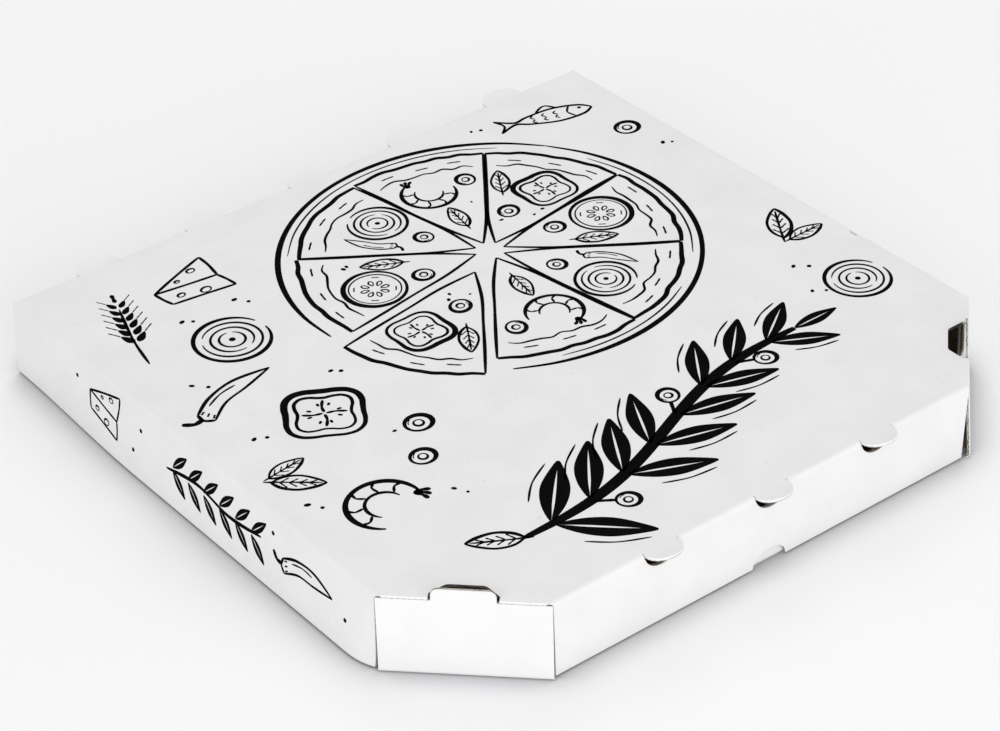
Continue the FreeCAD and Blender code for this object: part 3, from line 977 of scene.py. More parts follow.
    def add_corner_wall(self, mesh: BoardMesh, sign: int) -> None:
        """Add a cut corner's wall with its tab.

        Args:
            mesh: The tray's mesh in the making.
            sign: -1 for the left wall, 1 for the right one.
        """
        s = self.sizes
        inset = s.leg / 2
        middle = Vector((sign * (s.half_width - inset), -(s.half_depth - inset), 0))
        out = Vector((sign, -1, 0)).normalized()
        along = Vector((1, sign, 0)).normalized()
        half = s.leg / math.sqrt(2) - s.clearance / 2
        top, tip = s.lid_box[0].z - self.touch, s.tray_box[1].z - self.tab_settle
        wide, r = self.tab_width / 2, self.tab_radius
        right = [(half, s.fold), (half, top), (wide, top), (wide, tip - r)]
        for i in range(1, self.tab_steps + 1):
            angle = math.pi / 2 * i / self.tab_steps
            right.append((wide - r + r * math.cos(angle), tip - r + r * math.sin(angle)))
        outline = right + [(-a, b) for a, b in reversed(right)]
        root_half = 1 / math.sqrt(2)

        def place(a: float, b: float, c: float) -> Vector:
            """A place on the wall, which leans out towards its foot."""
            lean = self.corner_lean * (1 - (b - s.fold) / (top - s.fold))
            return middle + along * a + out * (lean - c) + Vector((0, 0, b))

        mesh.panel(outline, place, lambda a, b: (middle + along * a).y - b * root_half)
        foot = middle + out * (self.corner_lean - s.fold)
        ends = [foot + along * (side * half) + Vector((0, 0, s.fold)) for side in (-1, 1)]
        mesh.bend(ends[0], ends[1], (Vector((0, 0, -1)), out), s.fold, lambda p: p.y)

    def add_back_wall(self, mesh: BoardMesh) -> None:
        """Add the back wall with its scoops, and the dust flaps at its ends.

        Args:
            mesh: The tray's mesh in the making.
        """
        s = self.sizes
        fold_x = self.side_face - s.board - s.clearance
        half, top = fold_x - s.fold, s.height - s.fold
        hinge_z = s.wall_top + s.clearance / 2
        outline = [(-half, s.fold), (half, s.fold), (half, top)]
        for x in reversed(s.back_moon_places()):
            width, reach = s.back_moon_width + 2 * s.moon_kerf, s.moon_reach + s.moon_tip_kerf
            drop = hinge_z - top
            moon = [(a, hinge_z - b) for a, b in half_moon(x, width, reach) if b > drop]
            outline += [(x + width / 2, top), *reversed(moon), (x - width / 2, top)]
        outline.append((-half, top))
        mesh.panel(outline, lambda a, b, c: Vector((a, s.half_depth - c, b)), lambda a, b: s.half_depth + b)
        y = s.half_depth - s.fold
        mesh.bend(Vector((-half, y, s.fold)), Vector((half, y, s.fold)),
                  (Vector((0, 0, -1)), Vector((0, 1, 0))), s.fold, lambda p: p.y)
        foot = s.board + s.clearance
        flap_top = s.wall_top - self.dust_flap_drop
        length, taper = self.dust_flap_length, self.dust_flap_taper
        flap = [(s.fold, foot), (length, foot + taper / 2), (length, flap_top - taper), (s.fold, flap_top)]
        for sign in (-1, 1):
            mesh.bend(Vector((sign * half, y, foot)), Vector((sign * half, y, flap_top)),
                      (Vector((0, 1, 0)), Vector((sign, 0, 0))), s.fold, lambda p: p.z)
            mesh.panel(flap, lambda a, b, c: Vector((sign * (fold_x - c), s.half_depth - a, b)),
                       lambda a, b: b)


@dataclass
class Lid:
    """The lid's panel, with the half-moon tabs and the corner notches."""

    sizes: Sizes
    notch_width: float = 30.4 * MM
    notch_far_width: float = 17.0 * MM
    notch_throat: float = 3.0 * MM
    notch_depth: float = 9.8 * MM
    notch_round: float = 1.6 * MM
    tab_lift: float = 1.1 * MM
    tab_base_share: float = 0.1
    tab_sweep: float = math.radians(87)
    tab_cells: tuple[int, int] = (12, 14)
    slit_setback: float = 45.0 * MM
    slit_length: float = 5.0 * MM
    slit_width: float = 0.8 * MM

    def add_tab(self, mesh: BoardMesh, x: float, width: float, side: int) -> None:
        """Add one half-moon tab, its nose a little lifted.

        Args:
            mesh: The panel's mesh in the making.
            x: The tab's middle.
            width: Its width.
            side: -1 for the front edge, 1 for the back one.
        """
        s = self.sizes

        def half_and_reach(down: float) -> Point:
            """Size of the tab at a place down it.

            Args:
                down: Share of the way from its root to its nose.

            Returns:
                Half of its width, and its reach past the wall.
            """
            if down < self.tab_base_share:
                return width / 2, -s.fold * (1 - down / self.tab_base_share)
            angle = self.tab_sweep * (down - self.tab_base_share) / (1 - self.tab_base_share)
            return width / 2 * math.cos(angle), s.moon_reach * math.sin(angle)

        def place(share: float, down: float, depth: float) -> Vector:
            """A point of the tab.

            Args:
                share: Share of the way across.
                down: Share of the way to the nose.
                depth: Depth from the outer face.

            Returns:
                The point in the frame.
            """
            half, reach = half_and_reach(down)
            lift = self.tab_lift * ((reach + s.fold) / (s.moon_reach + s.fold)) ** 2
            return Vector((x + (2 * share - 1) * half, side * (s.half_depth + reach),
                           s.height - depth + lift))

        mesh.grid(*self.tab_cells, place, lambda share, down: side * half_and_reach(down)[1])

    def notch(self) -> list[Point]:
        """A corner notch, along a and inwards to b.

        Returns:
            Its outline, from one end to the other.
        """
        half, far = self.notch_width / 2, self.notch_far_width / 2
        corners = [(-half, self.notch_throat), (-far, self.notch_depth), (far, self.notch_depth),
                   (half, self.notch_throat)]
        return [(-half, 0.0), *rounded(corners, self.notch_round), (half, 0.0)]

    def outline(self) -> tuple[list[Point], list[Point]]:
        """The panel's outline.

        Returns:
            Points from the front edge round to the left, and the corners inside the notches.
        """
        s = self.sizes
        line = s.half_width + s.half_depth - s.leg
        x_in, y_in = s.half_width - s.fold, s.half_depth - s.fold
        front_end = line - y_in
        points = [(-front_end, -y_in), (front_end, -y_in)]
        middle = Vector((s.half_width - s.leg / 2, -(s.half_depth - s.leg / 2)))
        along, inward = Vector((1, 1)).normalized(), Vector((-1, 1)).normalized()
        right = [tuple(middle + along * a + inward * b) for a, b in self.notch()]
        points += right
        points.append((x_in, -(line - x_in)))
        points += [(x_in, y_in), (-x_in, y_in), (-x_in, -(line - x_in))]
        middle.x = -middle.x
        along, inward = Vector((1, -1)).normalized(), Vector((1, 1)).normalized()
        left = [tuple(middle + along * a + inward * b) for a, b in self.notch()]
        return points + left, right[1:-1] + left[1:-1]

    def build(self, materials: dict[Face, bpy.types.Material]) -> bpy.types.Object:
        """Build the panel.

        Args:
            materials: The material of each finish.

        Returns:
            The lid's object.
        """
        s = self.sizes
        mesh = BoardMesh("lid_board", s.board, s.pitch)
        slit_x, slit_y = s.half_width - 2 * s.board, -self.slit_setback
        half = self.slit_length / 2
        slit = [(slit_x, slit_y - half), (slit_x + self.slit_width, slit_y - half),
                (slit_x + self.slit_width, slit_y + half), (slit_x, slit_y + half)]
        outline, notches = self.outline()
        # The notches' rims get the cut edge darkened with painted shade.
        mesh.panel(outline, lambda a, b, c: Vector((a, b, s.height - c)), lambda a, b: b, [slit],
                   open_rim=notches)
        for x in s.front_moon_places():
            self.add_tab(mesh, x, s.front_moon_width, -1)
        for x in s.back_moon_places():
            self.add_tab(mesh, x, s.back_moon_width, 1)
        made = mesh.build(materials)
        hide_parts("lid_panel")
        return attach(made, "lid")


@dataclass(frozen=True)
class FlapEnd:
    """How a side flap ends at the cut corner, and how far it bows out."""

    gap: float
    slant: float
    cut_width: float
    bow: float
    bow_at_end: float


@dataclass
class Flaps:
    """The lid's three hanging flaps."""

    sizes: Sizes
    floor_gap: float = 1.0 * MM
    left_gap: float = 0.3 * MM
    left_slant: float = 0.0
    right_gap: float = 0.2 * MM
    right_slant: float = 2.4 * MM
    foot_cut_height: float = 9.0 * MM
    notch_width: float = 19.5 * MM
    notch_height: float = 7.5 * MM
    left_end: FlapEnd = FlapEnd(gap=0.5 * MM, slant=0.1 * MM, cut_width=0.6 * MM, bow=5.2 * MM,
                                bow_at_end=0.15)
    right_end: FlapEnd = FlapEnd(gap=1.2 * MM, slant=1.2 * MM, cut_width=4.3 * MM, bow=2.0 * MM,
                                 bow_at_end=1.0)
    curl_length: float = 18.0 * MM
    curl_power: float = 2.4
    bow_start: float = 0.62
    bow_at_back: float = 0.3
    bow_curve: float = 1.35
    cells: tuple[int, int] = (96, 28)

    @property
    def drop(self) -> float:
        """How far a flap hangs below its fold's rounded strip."""
        return self.sizes.height - self.sizes.fold - self.floor_gap

    def front(self, materials: dict[Face, bpy.types.Material]) -> bpy.types.Object:
        """Build the front flap with its vents and finger notch.

        Args:
            materials: The material of each finish.

        Returns:
            The flap's object.
        """
        s = self.sizes
        mesh = BoardMesh("front_flap_board", s.board, s.pitch)
        top = s.height - s.fold
        end = s.half_width - s.leg
        left, right = self.left_gap - end, end - self.right_gap
        foot = [(a, self.floor_gap + b) for a, b in half_moon(0, self.notch_width, self.notch_height)]
        outline = [(left + self.left_slant, self.floor_gap), *foot,
                   (right - self.right_slant, self.floor_gap), (right, top)]
        for x in reversed(s.front_moon_places()):
            width, reach = s.front_moon_width + 2 * s.moon_kerf, s.moon_reach + s.moon_tip_kerf
            moon = [(a, s.height - b) for a, b in half_moon(x, width, reach) if b > s.fold]
            outline += [(x + width / 2, top), *reversed(moon), (x - width / 2, top)]
        outline.append((left, top))
        mesh.panel(outline, lambda a, b, c: Vector((a, -s.half_depth + c, b)),
                   lambda a, b: -s.half_depth - b)
        made = mesh.build(materials)
        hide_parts("front_flap")
        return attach(made, "front_flap")

    def side_point(self, sign: int, y: float, drop: float, depth: float) -> Vector:
        """A point on a side flap, bowed outwards towards its foot.

        Args:
            sign: -1 for the left flap, 1 for the right one.
            y: Place along the box.
            drop: Distance down from the fold's strip.
            depth: Depth from the outer face.

        Returns:
            The point in the frame.
        """
        s = self.sizes
        end = self.left_end if sign < 0 else self.right_end
        low, high = -(s.half_depth - s.leg), s.half_depth
        share = (y - low) / (high - low)
        settle = smooth_step((share - self.bow_start) / (1 - self.bow_start))
        near_end = 1 - min(max((y - low) / self.curl_length, 0.0), 1.0)
        curl = 1 - near_end ** self.curl_power
        back_share = 1 - (1 - self.bow_at_back) * settle
        end_share = end.bow_at_end + (1 - end.bow_at_end) * curl
        lean = end.bow * back_share * end_share * (drop / self.drop) ** self.bow_curve
        lift = lean * lean / (2 * self.drop)
        return Vector((sign * (s.half_width - depth + lean), y, s.height - s.fold - drop + lift))

    def side(self, sign: int, materials: dict[Face, bpy.types.Material]) -> bpy.types.Object:
        """Build a side flap.

        Args:
            sign: -1 for the left flap, 1 for the right one.
            materials: The material of each finish.

        Returns:
            The flap's object.
        """
        s = self.sizes
        name = "left_flap" if sign < 0 else "right_flap"
        mesh = BoardMesh(name + "_board", s.board, s.pitch)
        back = s.half_depth - s.clearance
        end = self.left_end if sign < 0 else self.right_end
        front = -(s.half_depth - s.leg - end.gap)

        def y_at(across: float, down: float) -> float:
            """Place along the box of a point on the flap.

            Args:
                across: Share of the way along the flap.
                down: Share of the way down it.

            Returns:
                The place.
            """
            above = (1 - down) * self.drop / self.foot_cut_height
            cut = 1 - math.sqrt(1 - (1 - min(above, 1.0)) ** 2)
            start = front + end.slant * down + end.cut_width * cut
            return start + (back - start) * across

        mesh.grid(*self.cells, lambda a, b, c: self.side_point(sign, y_at(a, b), b * self.drop, c), y_at)
        made = mesh.build(materials)
        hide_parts(name)
        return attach(made, name)


@dataclass
class Stretch:
    """A straight stretch of a fold: its two ends, and how far each is mitred."""

    start: Vector
    end: Vector
    mitres: Point = (0.0, 0.0)


@dataclass
class FoldStrips:
    """The rounded strips of board at the folds that move."""

    sizes: Sizes
    steps: int = 12
    shift: float = 0.02
    near_gap: float = 0.4 * MM

    def strip(self, name: str, bodies: tuple[str, str], stretches: Sequence[Stretch],
              outward: Vector, materials: dict[Face, bpy.types.Material]) -> bpy.types.Object:
        """Build one fold's strip.

        Args:
            name: The piece's name.
            bodies: The bodies that it joins, the lid's side first.
            stretches: The stretches of the fold's inner axis.
            outward: The outer normal of the panel below the fold.
            materials: The material of each finish.

        Returns:
            The strip's object.
        """
        s = self.sizes
        mesh = BoardMesh(name, s.board, s.pitch)
        up = Vector((0, 0, 1))
        for part in stretches:
            mesh.bend(part.start, part.end, (up, outward), s.fold, lambda p: p.y, steps=self.steps,
                      mitres=part.mitres, lap=FOLD_LAP)
        made = mesh.build(materials)
        near = stretches[0].start + up * (s.fold - s.board)
        far = stretches[0].start + outward * (s.fold - s.board)
        shift = (far - near) * self.shift
        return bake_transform(made, bodies[0], bodies[1], near + shift, far - shift)

    def build(self, materials: dict[Face, bpy.types.Material]) -> list[bpy.types.Object]:
        """Build the strips of the hinge fold and of the three flaps' folds.

        Args:
            materials: The material of each finish.

        Returns:
            The strips' objects.
        """
        s = self.sizes
        z = s.height - s.fold
        x_in, y_in = s.half_width - s.fold, s.half_depth - s.fold
        line = s.half_width + s.half_depth - s.leg
        tight, loose = s.fold + self.near_gap, s.fold + s.flap_end_gap
        front_end = line - y_in
        front = [Stretch(Vector((a, -y_in, z)), Vector((b, -y_in, z)))
                 for a, b in spans(-front_end, front_end, s.moon_cuts(False))]
        front[0].mitres, front[-1].mitres = (tight, 0.0), (0.0, tight)
        back = [Stretch(Vector((a, y_in, z)), Vector((b, y_in, z)))
                for a, b in spans(-x_in, x_in, s.moon_cuts(True))]
        made = [self.strip("front_fold_strip", ("lid", "front_flap"), front, Vector((0, -1, 0)), materials),
                self.strip("hinge_fold_strip", ("lid", "base"), back, Vector((0, 1, 0)), materials)]
        for sign, side in ((-1, "left"), (1, "right")):
            x = sign * x_in
            fold = Stretch(Vector((x, x_in - line, z)), Vector((x, s.half_depth - s.clearance, z)),
                           (tight if sign < 0 else loose, 0.0))
            made.append(self.strip(side + "_fold_strip", ("lid", side + "_flap"), [fold],
                                   Vector((sign, 0, 0)), materials))
        return made


def smooth_line(points: Sequence[Point], closed: bool = False, steps: int = 8) -> list[Point]:
    """A smooth line through points.

    Args:
        points: The points that it passes through.
        closed: Whether it returns to its start.
        steps: Pieces between two points.

    Returns:
        Points along a Catmull-Rom curve.
    """
    count = len(points)
    out: list[Point] = []
    for i in range(count if closed else count - 1):
        picks = [i - 1, i, i + 1, i + 2]
        around = [points[k % count] if closed else points[min(max(k, 0), count - 1)] for k in picks]
        for j in range(steps):
            t = j / steps
            weights = (-t ** 3 + 2 * t * t - t, 3 * t ** 3 - 5 * t * t + 2,
                       -3 * t ** 3 + 4 * t * t + t, t ** 3 - t * t)
            out.append((sum(w * p[0] for w, p in zip(weights, around)) / 2,
                        sum(w * p[1] for w, p in zip(weights, around)) / 2))
    if not closed:
        out.append(tuple(points[-1]))
    return out


@dataclass
class Pen:
    """Draws ink as thin closed ribbons on a surface. Its own units are millimetres."""

    name: str
    surface: Callable[[float, float, float], Vector]
    film: float = 0.05
    vertices: list[Vector] = field(default_factory=list)
    faces: list[tuple[int, ...]] = field(default_factory=list)
    x: float = 0.0
    y: float = 0.0
    angle: float = 0.0
    scale: float = 1.0

    def at(self, x: float, y: float, angle: float = 0.0, scale: float = 1.0) -> "Pen":
        """The same pen, moved, turned by degrees and scaled within this one's frame.

        Args:
            x: Its new origin, in x.
            y: Its new origin, in y.
            angle: How far it is turned.
            scale: How much larger it draws.

        Returns:
            The moved pen, which draws into the same mesh.
        """
        px, py = self.spot((x, y))
        made = Pen(self.name, self.surface, self.film, self.vertices, self.faces, px, py, self.angle + angle,
                   self.scale * scale)
        return made

    def spot(self, point: Point) -> Point:
        """Where a point of the pen's frame is on the sheet.

        Args:
            point: The point.

        Returns:
            Its place.
        """
        turn = math.radians(self.angle)
        px, py = point[0] * self.scale, point[1] * self.scale
        return (self.x + px * math.cos(turn) - py * math.sin(turn),
                self.y + px * math.sin(turn) + py * math.cos(turn))

    def fill(self, points: Sequence[Point]) -> None:
        """A solid shape of ink inside a closed outline.

        Args:
            points: The outline.
        """
        flat = [self.spot(p) for p in points]
        first, count = len(self.vertices), len(flat)
        for level in (self.film, 0.0):
            self.vertices += [self.surface(a, b, level) for a, b in flat]
        for corner in tessellate_polygon([[Vector((a, b, 0)) for a, b in flat]]):
            self.faces.append(tuple(first + i for i in corner))
            self.faces.append(tuple(first + count + i for i in reversed(corner)))
        for i in range(count):
            j = (i + 1) % count
            self.faces.append((first + i, first + j, first + count + j, first + count + i))

    def line(self, points: Sequence[Point], width: float, closed: bool = False, swell: float = 0.35,
             taper: float = 0.25, phase: float = 0.0, smooth: bool = True) -> None:
        """A drawn line.

        Args:
            points: The points that it passes through.
            width: Its width.
            closed: Whether it returns to its start.
            swell: How much its width rises and falls along it.
            taper: Share of the width that is left at an open line's ends.
            phase: Where round a closed line it is widest, in degrees.
            smooth: Whether the points are joined by a curve.
        """
        path = smooth_line(points, closed) if smooth else list(points)
        path = [self.spot(p) for p in path]
        count = len(path)
        first = len(self.vertices)
        for i, (px, py) in enumerate(path):
            before = path[(i - 1) % count] if closed or i > 0 else path[0]
            after = path[(i + 1) % count] if closed or i < count - 1 else path[-1]
            dx, dy = after[0] - before[0], after[1] - before[1]
            length = math.hypot(dx, dy) or 1.0
            share = i / count if closed else i / (count - 1)
            if closed:
                grow = 1 + swell * math.sin(2 * math.pi * share + math.radians(phase))
            else:
                body = math.sin(math.pi * share) ** 0.55 if 0 < share < 1 else 0.0
                wave = math.sin(3 * math.pi * share + math.radians(phase))
                grow = taper + (1 - taper) * body * (1 + swell * wave)
            half = width * self.scale * grow / 2
            nx, ny = -dy / length * half, dx / length * half
            for level in (self.film, 0.0):
                self.vertices.append(self.surface(px + nx, py + ny, level))
                self.vertices.append(self.surface(px - nx, py - ny, level))
        for i in range(count if closed else count - 1):
            a, b = first + 4 * i, first + 4 * ((i + 1) % count)
            self.faces += [(a, a + 1, b + 1, b), (a + 2, b + 2, b + 3, a + 3),
                           (a, b, b + 2, a + 2), (a + 1, a + 3, b + 3, b + 1)]
        if not closed:
            for a in (first, first + 4 * (count - 1)):
                self.faces.append((a, a + 2, a + 3, a + 1))

    def arc(self, radius: float, start: float, end: float, width: float, x: float = 0.0, y: float = 0.0,
            swell: float = 0.25) -> None:
        """Part of a circle.

        Args:
            radius: Its radius.
            start: Where it starts, in degrees.
            end: Where it ends, in degrees.
            width: The line's width.
            x: Its middle, in x.
            y: Its middle, in y.
            swell: How much the width rises and falls.
        """
        count = max(4, int(abs(end - start) / 12) + 1)
        angles = [math.radians(start + (end - start) * i / count) for i in range(count + 1)]
        self.line([(x + radius * math.cos(a), y + radius * math.sin(a)) for a in angles], width, swell=swell)

    def loop(self, radius: float, width: float, x: float = 0.0, y: float = 0.0, squeeze: float = 1.0,
             lobes: int = 0, depth: float = 0.0, phase: float = 0.0, swell: float = 0.35) -> None:
        """A closed ring, which may be squeezed to an oval or lobed.

        Args:
            radius: Its radius.
            width: The line's width.
            x: Its middle, in x.
            y: Its middle, in y.
            squeeze: Height as a share of width.
            lobes: How many lobes it has.
            depth: How deep they are.
            phase: Turn of the lobes and of the widest place, in degrees.
            swell: How much the width rises and falls.
        """
        count = max(10, lobes * 6)
        points = []
        for i in range(count):
            a = 2 * math.pi * i / count
            r = radius * (1 + depth * math.cos(lobes * a + math.radians(phase)))
            points.append((x + r * math.cos(a), y + r * squeeze * math.sin(a)))
        self.line(points, width, closed=True, swell=swell, phase=phase)

    def dot(self, x: float, y: float, radius: float, squeeze: float = 1.0, angle: float = 0.0) -> None:
        """A solid spot.

        Args:
            x: Its middle, in x.
            y: Its middle, in y.
            radius: Its radius.
            squeeze: Height as a share of width.
            angle: How far it is turned, in degrees.
        """
        turn = math.radians(angle)
        points = []
        for i in range(14):
            a = 2 * math.pi * i / 14
            px, py = radius * math.cos(a), radius * squeeze * math.sin(a)
            points.append((x + px * math.cos(turn) - py * math.sin(turn),
                           y + px * math.sin(turn) + py * math.cos(turn)))
        self.fill(points)

    def build(self, material: bpy.types.Material, replaced: str, body: str) -> bpy.types.Object:
        """Make the ink's object.

        Args:
            material: The ink's material.
            replaced: The node that it stands for.
            body: The body that it rides on.

        Returns:
            The ink's object.
        """
        mesh = bpy.data.meshes.new(self.name)
        mesh.from_pydata(self.vertices, [], self.faces)
        mesh.materials.append(material)
        shape = bmesh.new()
        shape.from_mesh(mesh)
        bmesh.ops.recalc_face_normals(shape, faces=shape.faces)
        shape.to_mesh(mesh)
        shape.free()
        made = bpy.data.objects.new(self.name, mesh)
        bpy.context.scene.collection.objects.link(made)
        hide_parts(replaced)
        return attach(made, body)


@dataclass(frozen=True)
class Motif:
    """A small drawing of food, drawn at a size of 1. Its size is in millimetres."""

    size: float

    def draw(self, pen: Pen) -> None:
        """Draw it about the pen's origin."""
        raise NotImplementedError


@dataclass(frozen=True)
class Pepper(Motif):
    """A slice of sweet pepper, by its radius: a lobed ring with ribs and seeds."""

    lobes: int = 4
    skin: float = 0.15
    skin_lobe: float = 0.09
    flesh: float = 0.74
    flesh_line: float = 0.085
    flesh_lobe: float = 0.15
    phase: float = 40.0
    rib_turn: float = 35.0
    rib_reach: float = 0.54
    seed_orbit: float = 0.38
    seed_turn: float = 20.0
    seed: float = 0.065

    def draw(self, pen: Pen) -> None:
        """Draw the slice.

        Args:
            pen: Draws on the sheet.
        """
        pen.loop(1.0, self.skin, lobes=self.lobes, depth=self.skin_lobe, phase=self.phase)
        pen.loop(self.flesh, self.flesh_line, lobes=self.lobes, depth=self.flesh_lobe, phase=self.phase,
                 swell=0.2)
        for i in range(self.lobes):
            rib = pen.at(0, 0, self.rib_turn + 360 * i / self.lobes)
            rib.line([(0.04, 0), (0.5 * self.rib_reach, 0.04), (self.rib_reach, 0)], self.flesh_line)
            for side in (-1, 1):
                rib.at(0, 0, side * self.seed_turn).dot(self.seed_orbit, 0, self.seed, 0.6)


@dataclass(frozen=True)
class Onion(Motif):
    """A slice of onion, by its radius: rings that don't quite close."""

    lines: tuple[float, ...] = (0.135, 0.085, 0.08, 0.075)
    step: float = 0.22
    sweep: float = 338.0
    start: float = 20.0
    turn: float = 140.0
    heart: float = 0.09

    def draw(self, pen: Pen) -> None:
        """Draw the slice.

        Args:
            pen: Draws on the sheet.
        """
        for i, line in enumerate(self.lines):
            start = self.start + self.turn * i
            pen.arc(1 - self.step * i, start, start + self.sweep, line)
        pen.dot(0, 0, self.heart)


@dataclass(frozen=True)
class Courgette(Motif):
    """A slice of courgette, by its radius: a rind, a thin inner ring and drop-shaped seeds."""

    rind: float = 0.14
    flesh: float = 0.83
    flesh_line: float = 0.05
    seeds: int = 8
    seed_start: float = 0.20
    seed_length: float = 0.27
    seed_width: float = 0.075
    seed_line: float = 0.05
    dash_orbit: float = 0.66
    dash_sweep: float = 22.0

    def draw(self, pen: Pen) -> None:
        """Draw the slice.

        Args:
            pen: Draws on the sheet.
        """
        pen.loop(1.0, self.rind, phase=70)
        pen.loop(self.flesh, self.flesh_line, phase=200, swell=0.2)
        for i in range(self.seeds):
            seed = pen.at(0, 0, 360 * i / self.seeds).at(self.seed_start, 0)
            drop = [(0, 0), (0.6 * self.seed_length, self.seed_width), (self.seed_length, 0),
                    (0.6 * self.seed_length, -self.seed_width)]
            seed.line(drop, self.seed_line, closed=True, swell=0.2)
            if i % 2:
                middle, reach = 360 * (i + 0.5) / self.seeds, self.dash_sweep / 2
                pen.arc(self.dash_orbit, middle - reach, middle + reach, self.seed_line)


@dataclass(frozen=True)
class Olive(Motif):
    """A stoned olive seen from its end, by its radius."""

    flesh: float = 0.34
    stone: float = 0.36
    stone_line: float = 0.18
    gleam: tuple[float, float] = (110.0, 165.0)

    def draw(self, pen: Pen) -> None:
        """Draw the olive.

        Args:
            pen: Draws on the sheet.
        """
        pen.loop(1.0, self.flesh, squeeze=0.92, phase=60)
        pen.loop(self.stone, self.stone_line, phase=200)
        pen.arc(2 * self.stone, *self.gleam, self.stone_line / 2)


@dataclass(frozen=True)
class Leaf(Motif):
    """A pointed leaf along +x from its stalk, by its length, with a midrib and side veins."""

    width: float = 0.42
    edge: float = 0.060
    veins: int = 4

    def draw(self, pen: Pen) -> None:
        """Draw the leaf.

        Args:
            pen: Draws on the sheet.
        """
        w = self.width
        far = [(0, 0), (0.22, 0.40 * w), (0.52, 0.50 * w), (0.82, 0.26 * w), (1, 0)]
        near = [(0, 0), (0.20, -0.36 * w), (0.50, -0.50 * w), (0.80, -0.30 * w), (1, 0)]
        pen.line(far, self.edge, swell=0.2, taper=0.5)
        pen.line(near, 1.3 * self.edge, taper=0.5)
        pen.line([(-0.14, 0.03 * w), (0.3, 0.03 * w), (0.92, 0)], 0.85 * self.edge)
        for i in range(self.veins):
            root = 0.16 + 0.17 * i
            reach = 0.34 * w * (1 - 0.16 * i)
            for side in (-1, 1):
                vein = [(root, 0), (root + 0.09, side * reach * 0.6), (root + 0.15, side * reach)]
                pen.line(vein, 0.6 * self.edge)


@dataclass(frozen=True)
class SolidLeaf(Motif):
    """A heavy leaf along +x, by its length: two black blades with a bright midrib between them."""

    width: float = 0.32
    rib: float = 0.012

    def draw(self, pen: Pen) -> None:
        """Draw the leaf.

        Args:
            pen: Draws on the sheet.
        """
        for side in (-1, 1):
            outer = [(0.0, 0.6 * self.rib), (0.25, 0.38 * self.width), (0.55, 0.48 * self.width),
                     (0.85, 0.24 * self.width), (1.0, 0.0)]
            inner = [(0.6, self.rib), (0.3, 1.2 * self.rib)]
            pen.fill(smooth_line([(a, side * b) for a, b in outer + inner], closed=True, steps=5))


@dataclass(frozen=True)
class Chilli(Motif):
    """A curved chilli with its cap and stalk, by its length."""

    girth: float = 0.10
    edge: float = 0.042

    def draw(self, pen: Pen) -> None:
        """Draw the chilli.

        Args:
            pen: Draws on the sheet.
        """
        w = self.girth
        pen.line([(0, w), (0.3, 1.5 * w), (0.65, 0.9 * w), (1, -1.3 * w)], self.edge, taper=0.5)
        pen.line([(0, -w), (0.3, -0.4 * w), (0.62, -0.9 * w), (1, -1.3 * w)], 0.8 * self.edge, taper=0.5)
        pen.line([(0, w), (-0.05, 0), (0, -w)], self.edge, taper=0.6)
        pen.line([(-0.04, 0.2 * w), (-0.14, 0.5 * w), (-0.2, 1.6 * w)], 1.5 * self.edge, taper=0.5)
        pen.line([(0.18, 0.8 * w), (0.4, 0.85 * w), (0.6, 0.3 * w)], 0.6 * self.edge)
        for i in range(3):
            pen.line([(0.02, (0.7 - 0.7 * i) * w), (0.08, (0.75 - 0.6 * i) * w)], 0.6 * self.edge)


@dataclass(frozen=True)
class Cheese(Motif):
    """A wedge of cheese with holes, by its length."""

    edge: float = 0.048
    holes: tuple[tuple[float, float, float], ...] = (
        (0.22, 0.02, 0.055), (0.52, -0.13, 0.075), (0.70, 0.36, 0.06), (0.40, 0.30, 0.035))

    def draw(self, pen: Pen) -> None:
        """Draw the wedge.

        Args:
            pen: Draws on the sheet.
        """
        nose, back, near = (0.0, 0.30), (1.0, 0.52), (0.86, 0.02)
        low_nose, low_near = (0.0, -0.06), (0.86, -0.34)
        edges = ((nose, (0.5, 0.42), back), (nose, (0.44, 0.15), near), (back, (0.95, 0.28), near),
                 (nose, (-0.01, 0.12), low_nose), (low_nose, (0.44, -0.2), low_near),
                 (near, (0.87, -0.16), low_near))
        for edge in edges:
            pen.line(edge, self.edge, taper=0.65)
        for x, y, radius in self.holes:
            pen.loop(radius, 0.6 * self.edge, x, y, squeeze=0.75)


@dataclass(frozen=True)
class Wheat(Motif):
    """An ear of wheat along +x, by its length, with solid grains and awns."""

    stalk: float = 0.026
    grains: int = 6
    first: float = 0.32
    step: float = 0.10
    grain: float = 0.14
    lean: float = 34.0

    def draw(self, pen: Pen) -> None:
        """Draw the ear.

        Args:
            pen: Draws on the sheet.
        """
        pen.line([(0, 0), (0.35, 0.02), (0.8, 0)], self.stalk)
        for i in range(self.grains):
            for side in (-1, 1):
                size = self.grain * (1 - 0.05 * i)
                grain = pen.at(self.first + self.step * i, 0.014 * side, side * self.lean, size)
                grain.fill(smooth_line([(0, 0), (0.35, 0.24), (1, 0), (0.35, -0.24)], closed=True, steps=4))
                grain.line([(1, 0), (1.8, 0.12 * side)], 0.09, taper=0.2)
        pen.line([(0.9, 0), (1.02, 0)], 1.4 * self.stalk, taper=0.1)


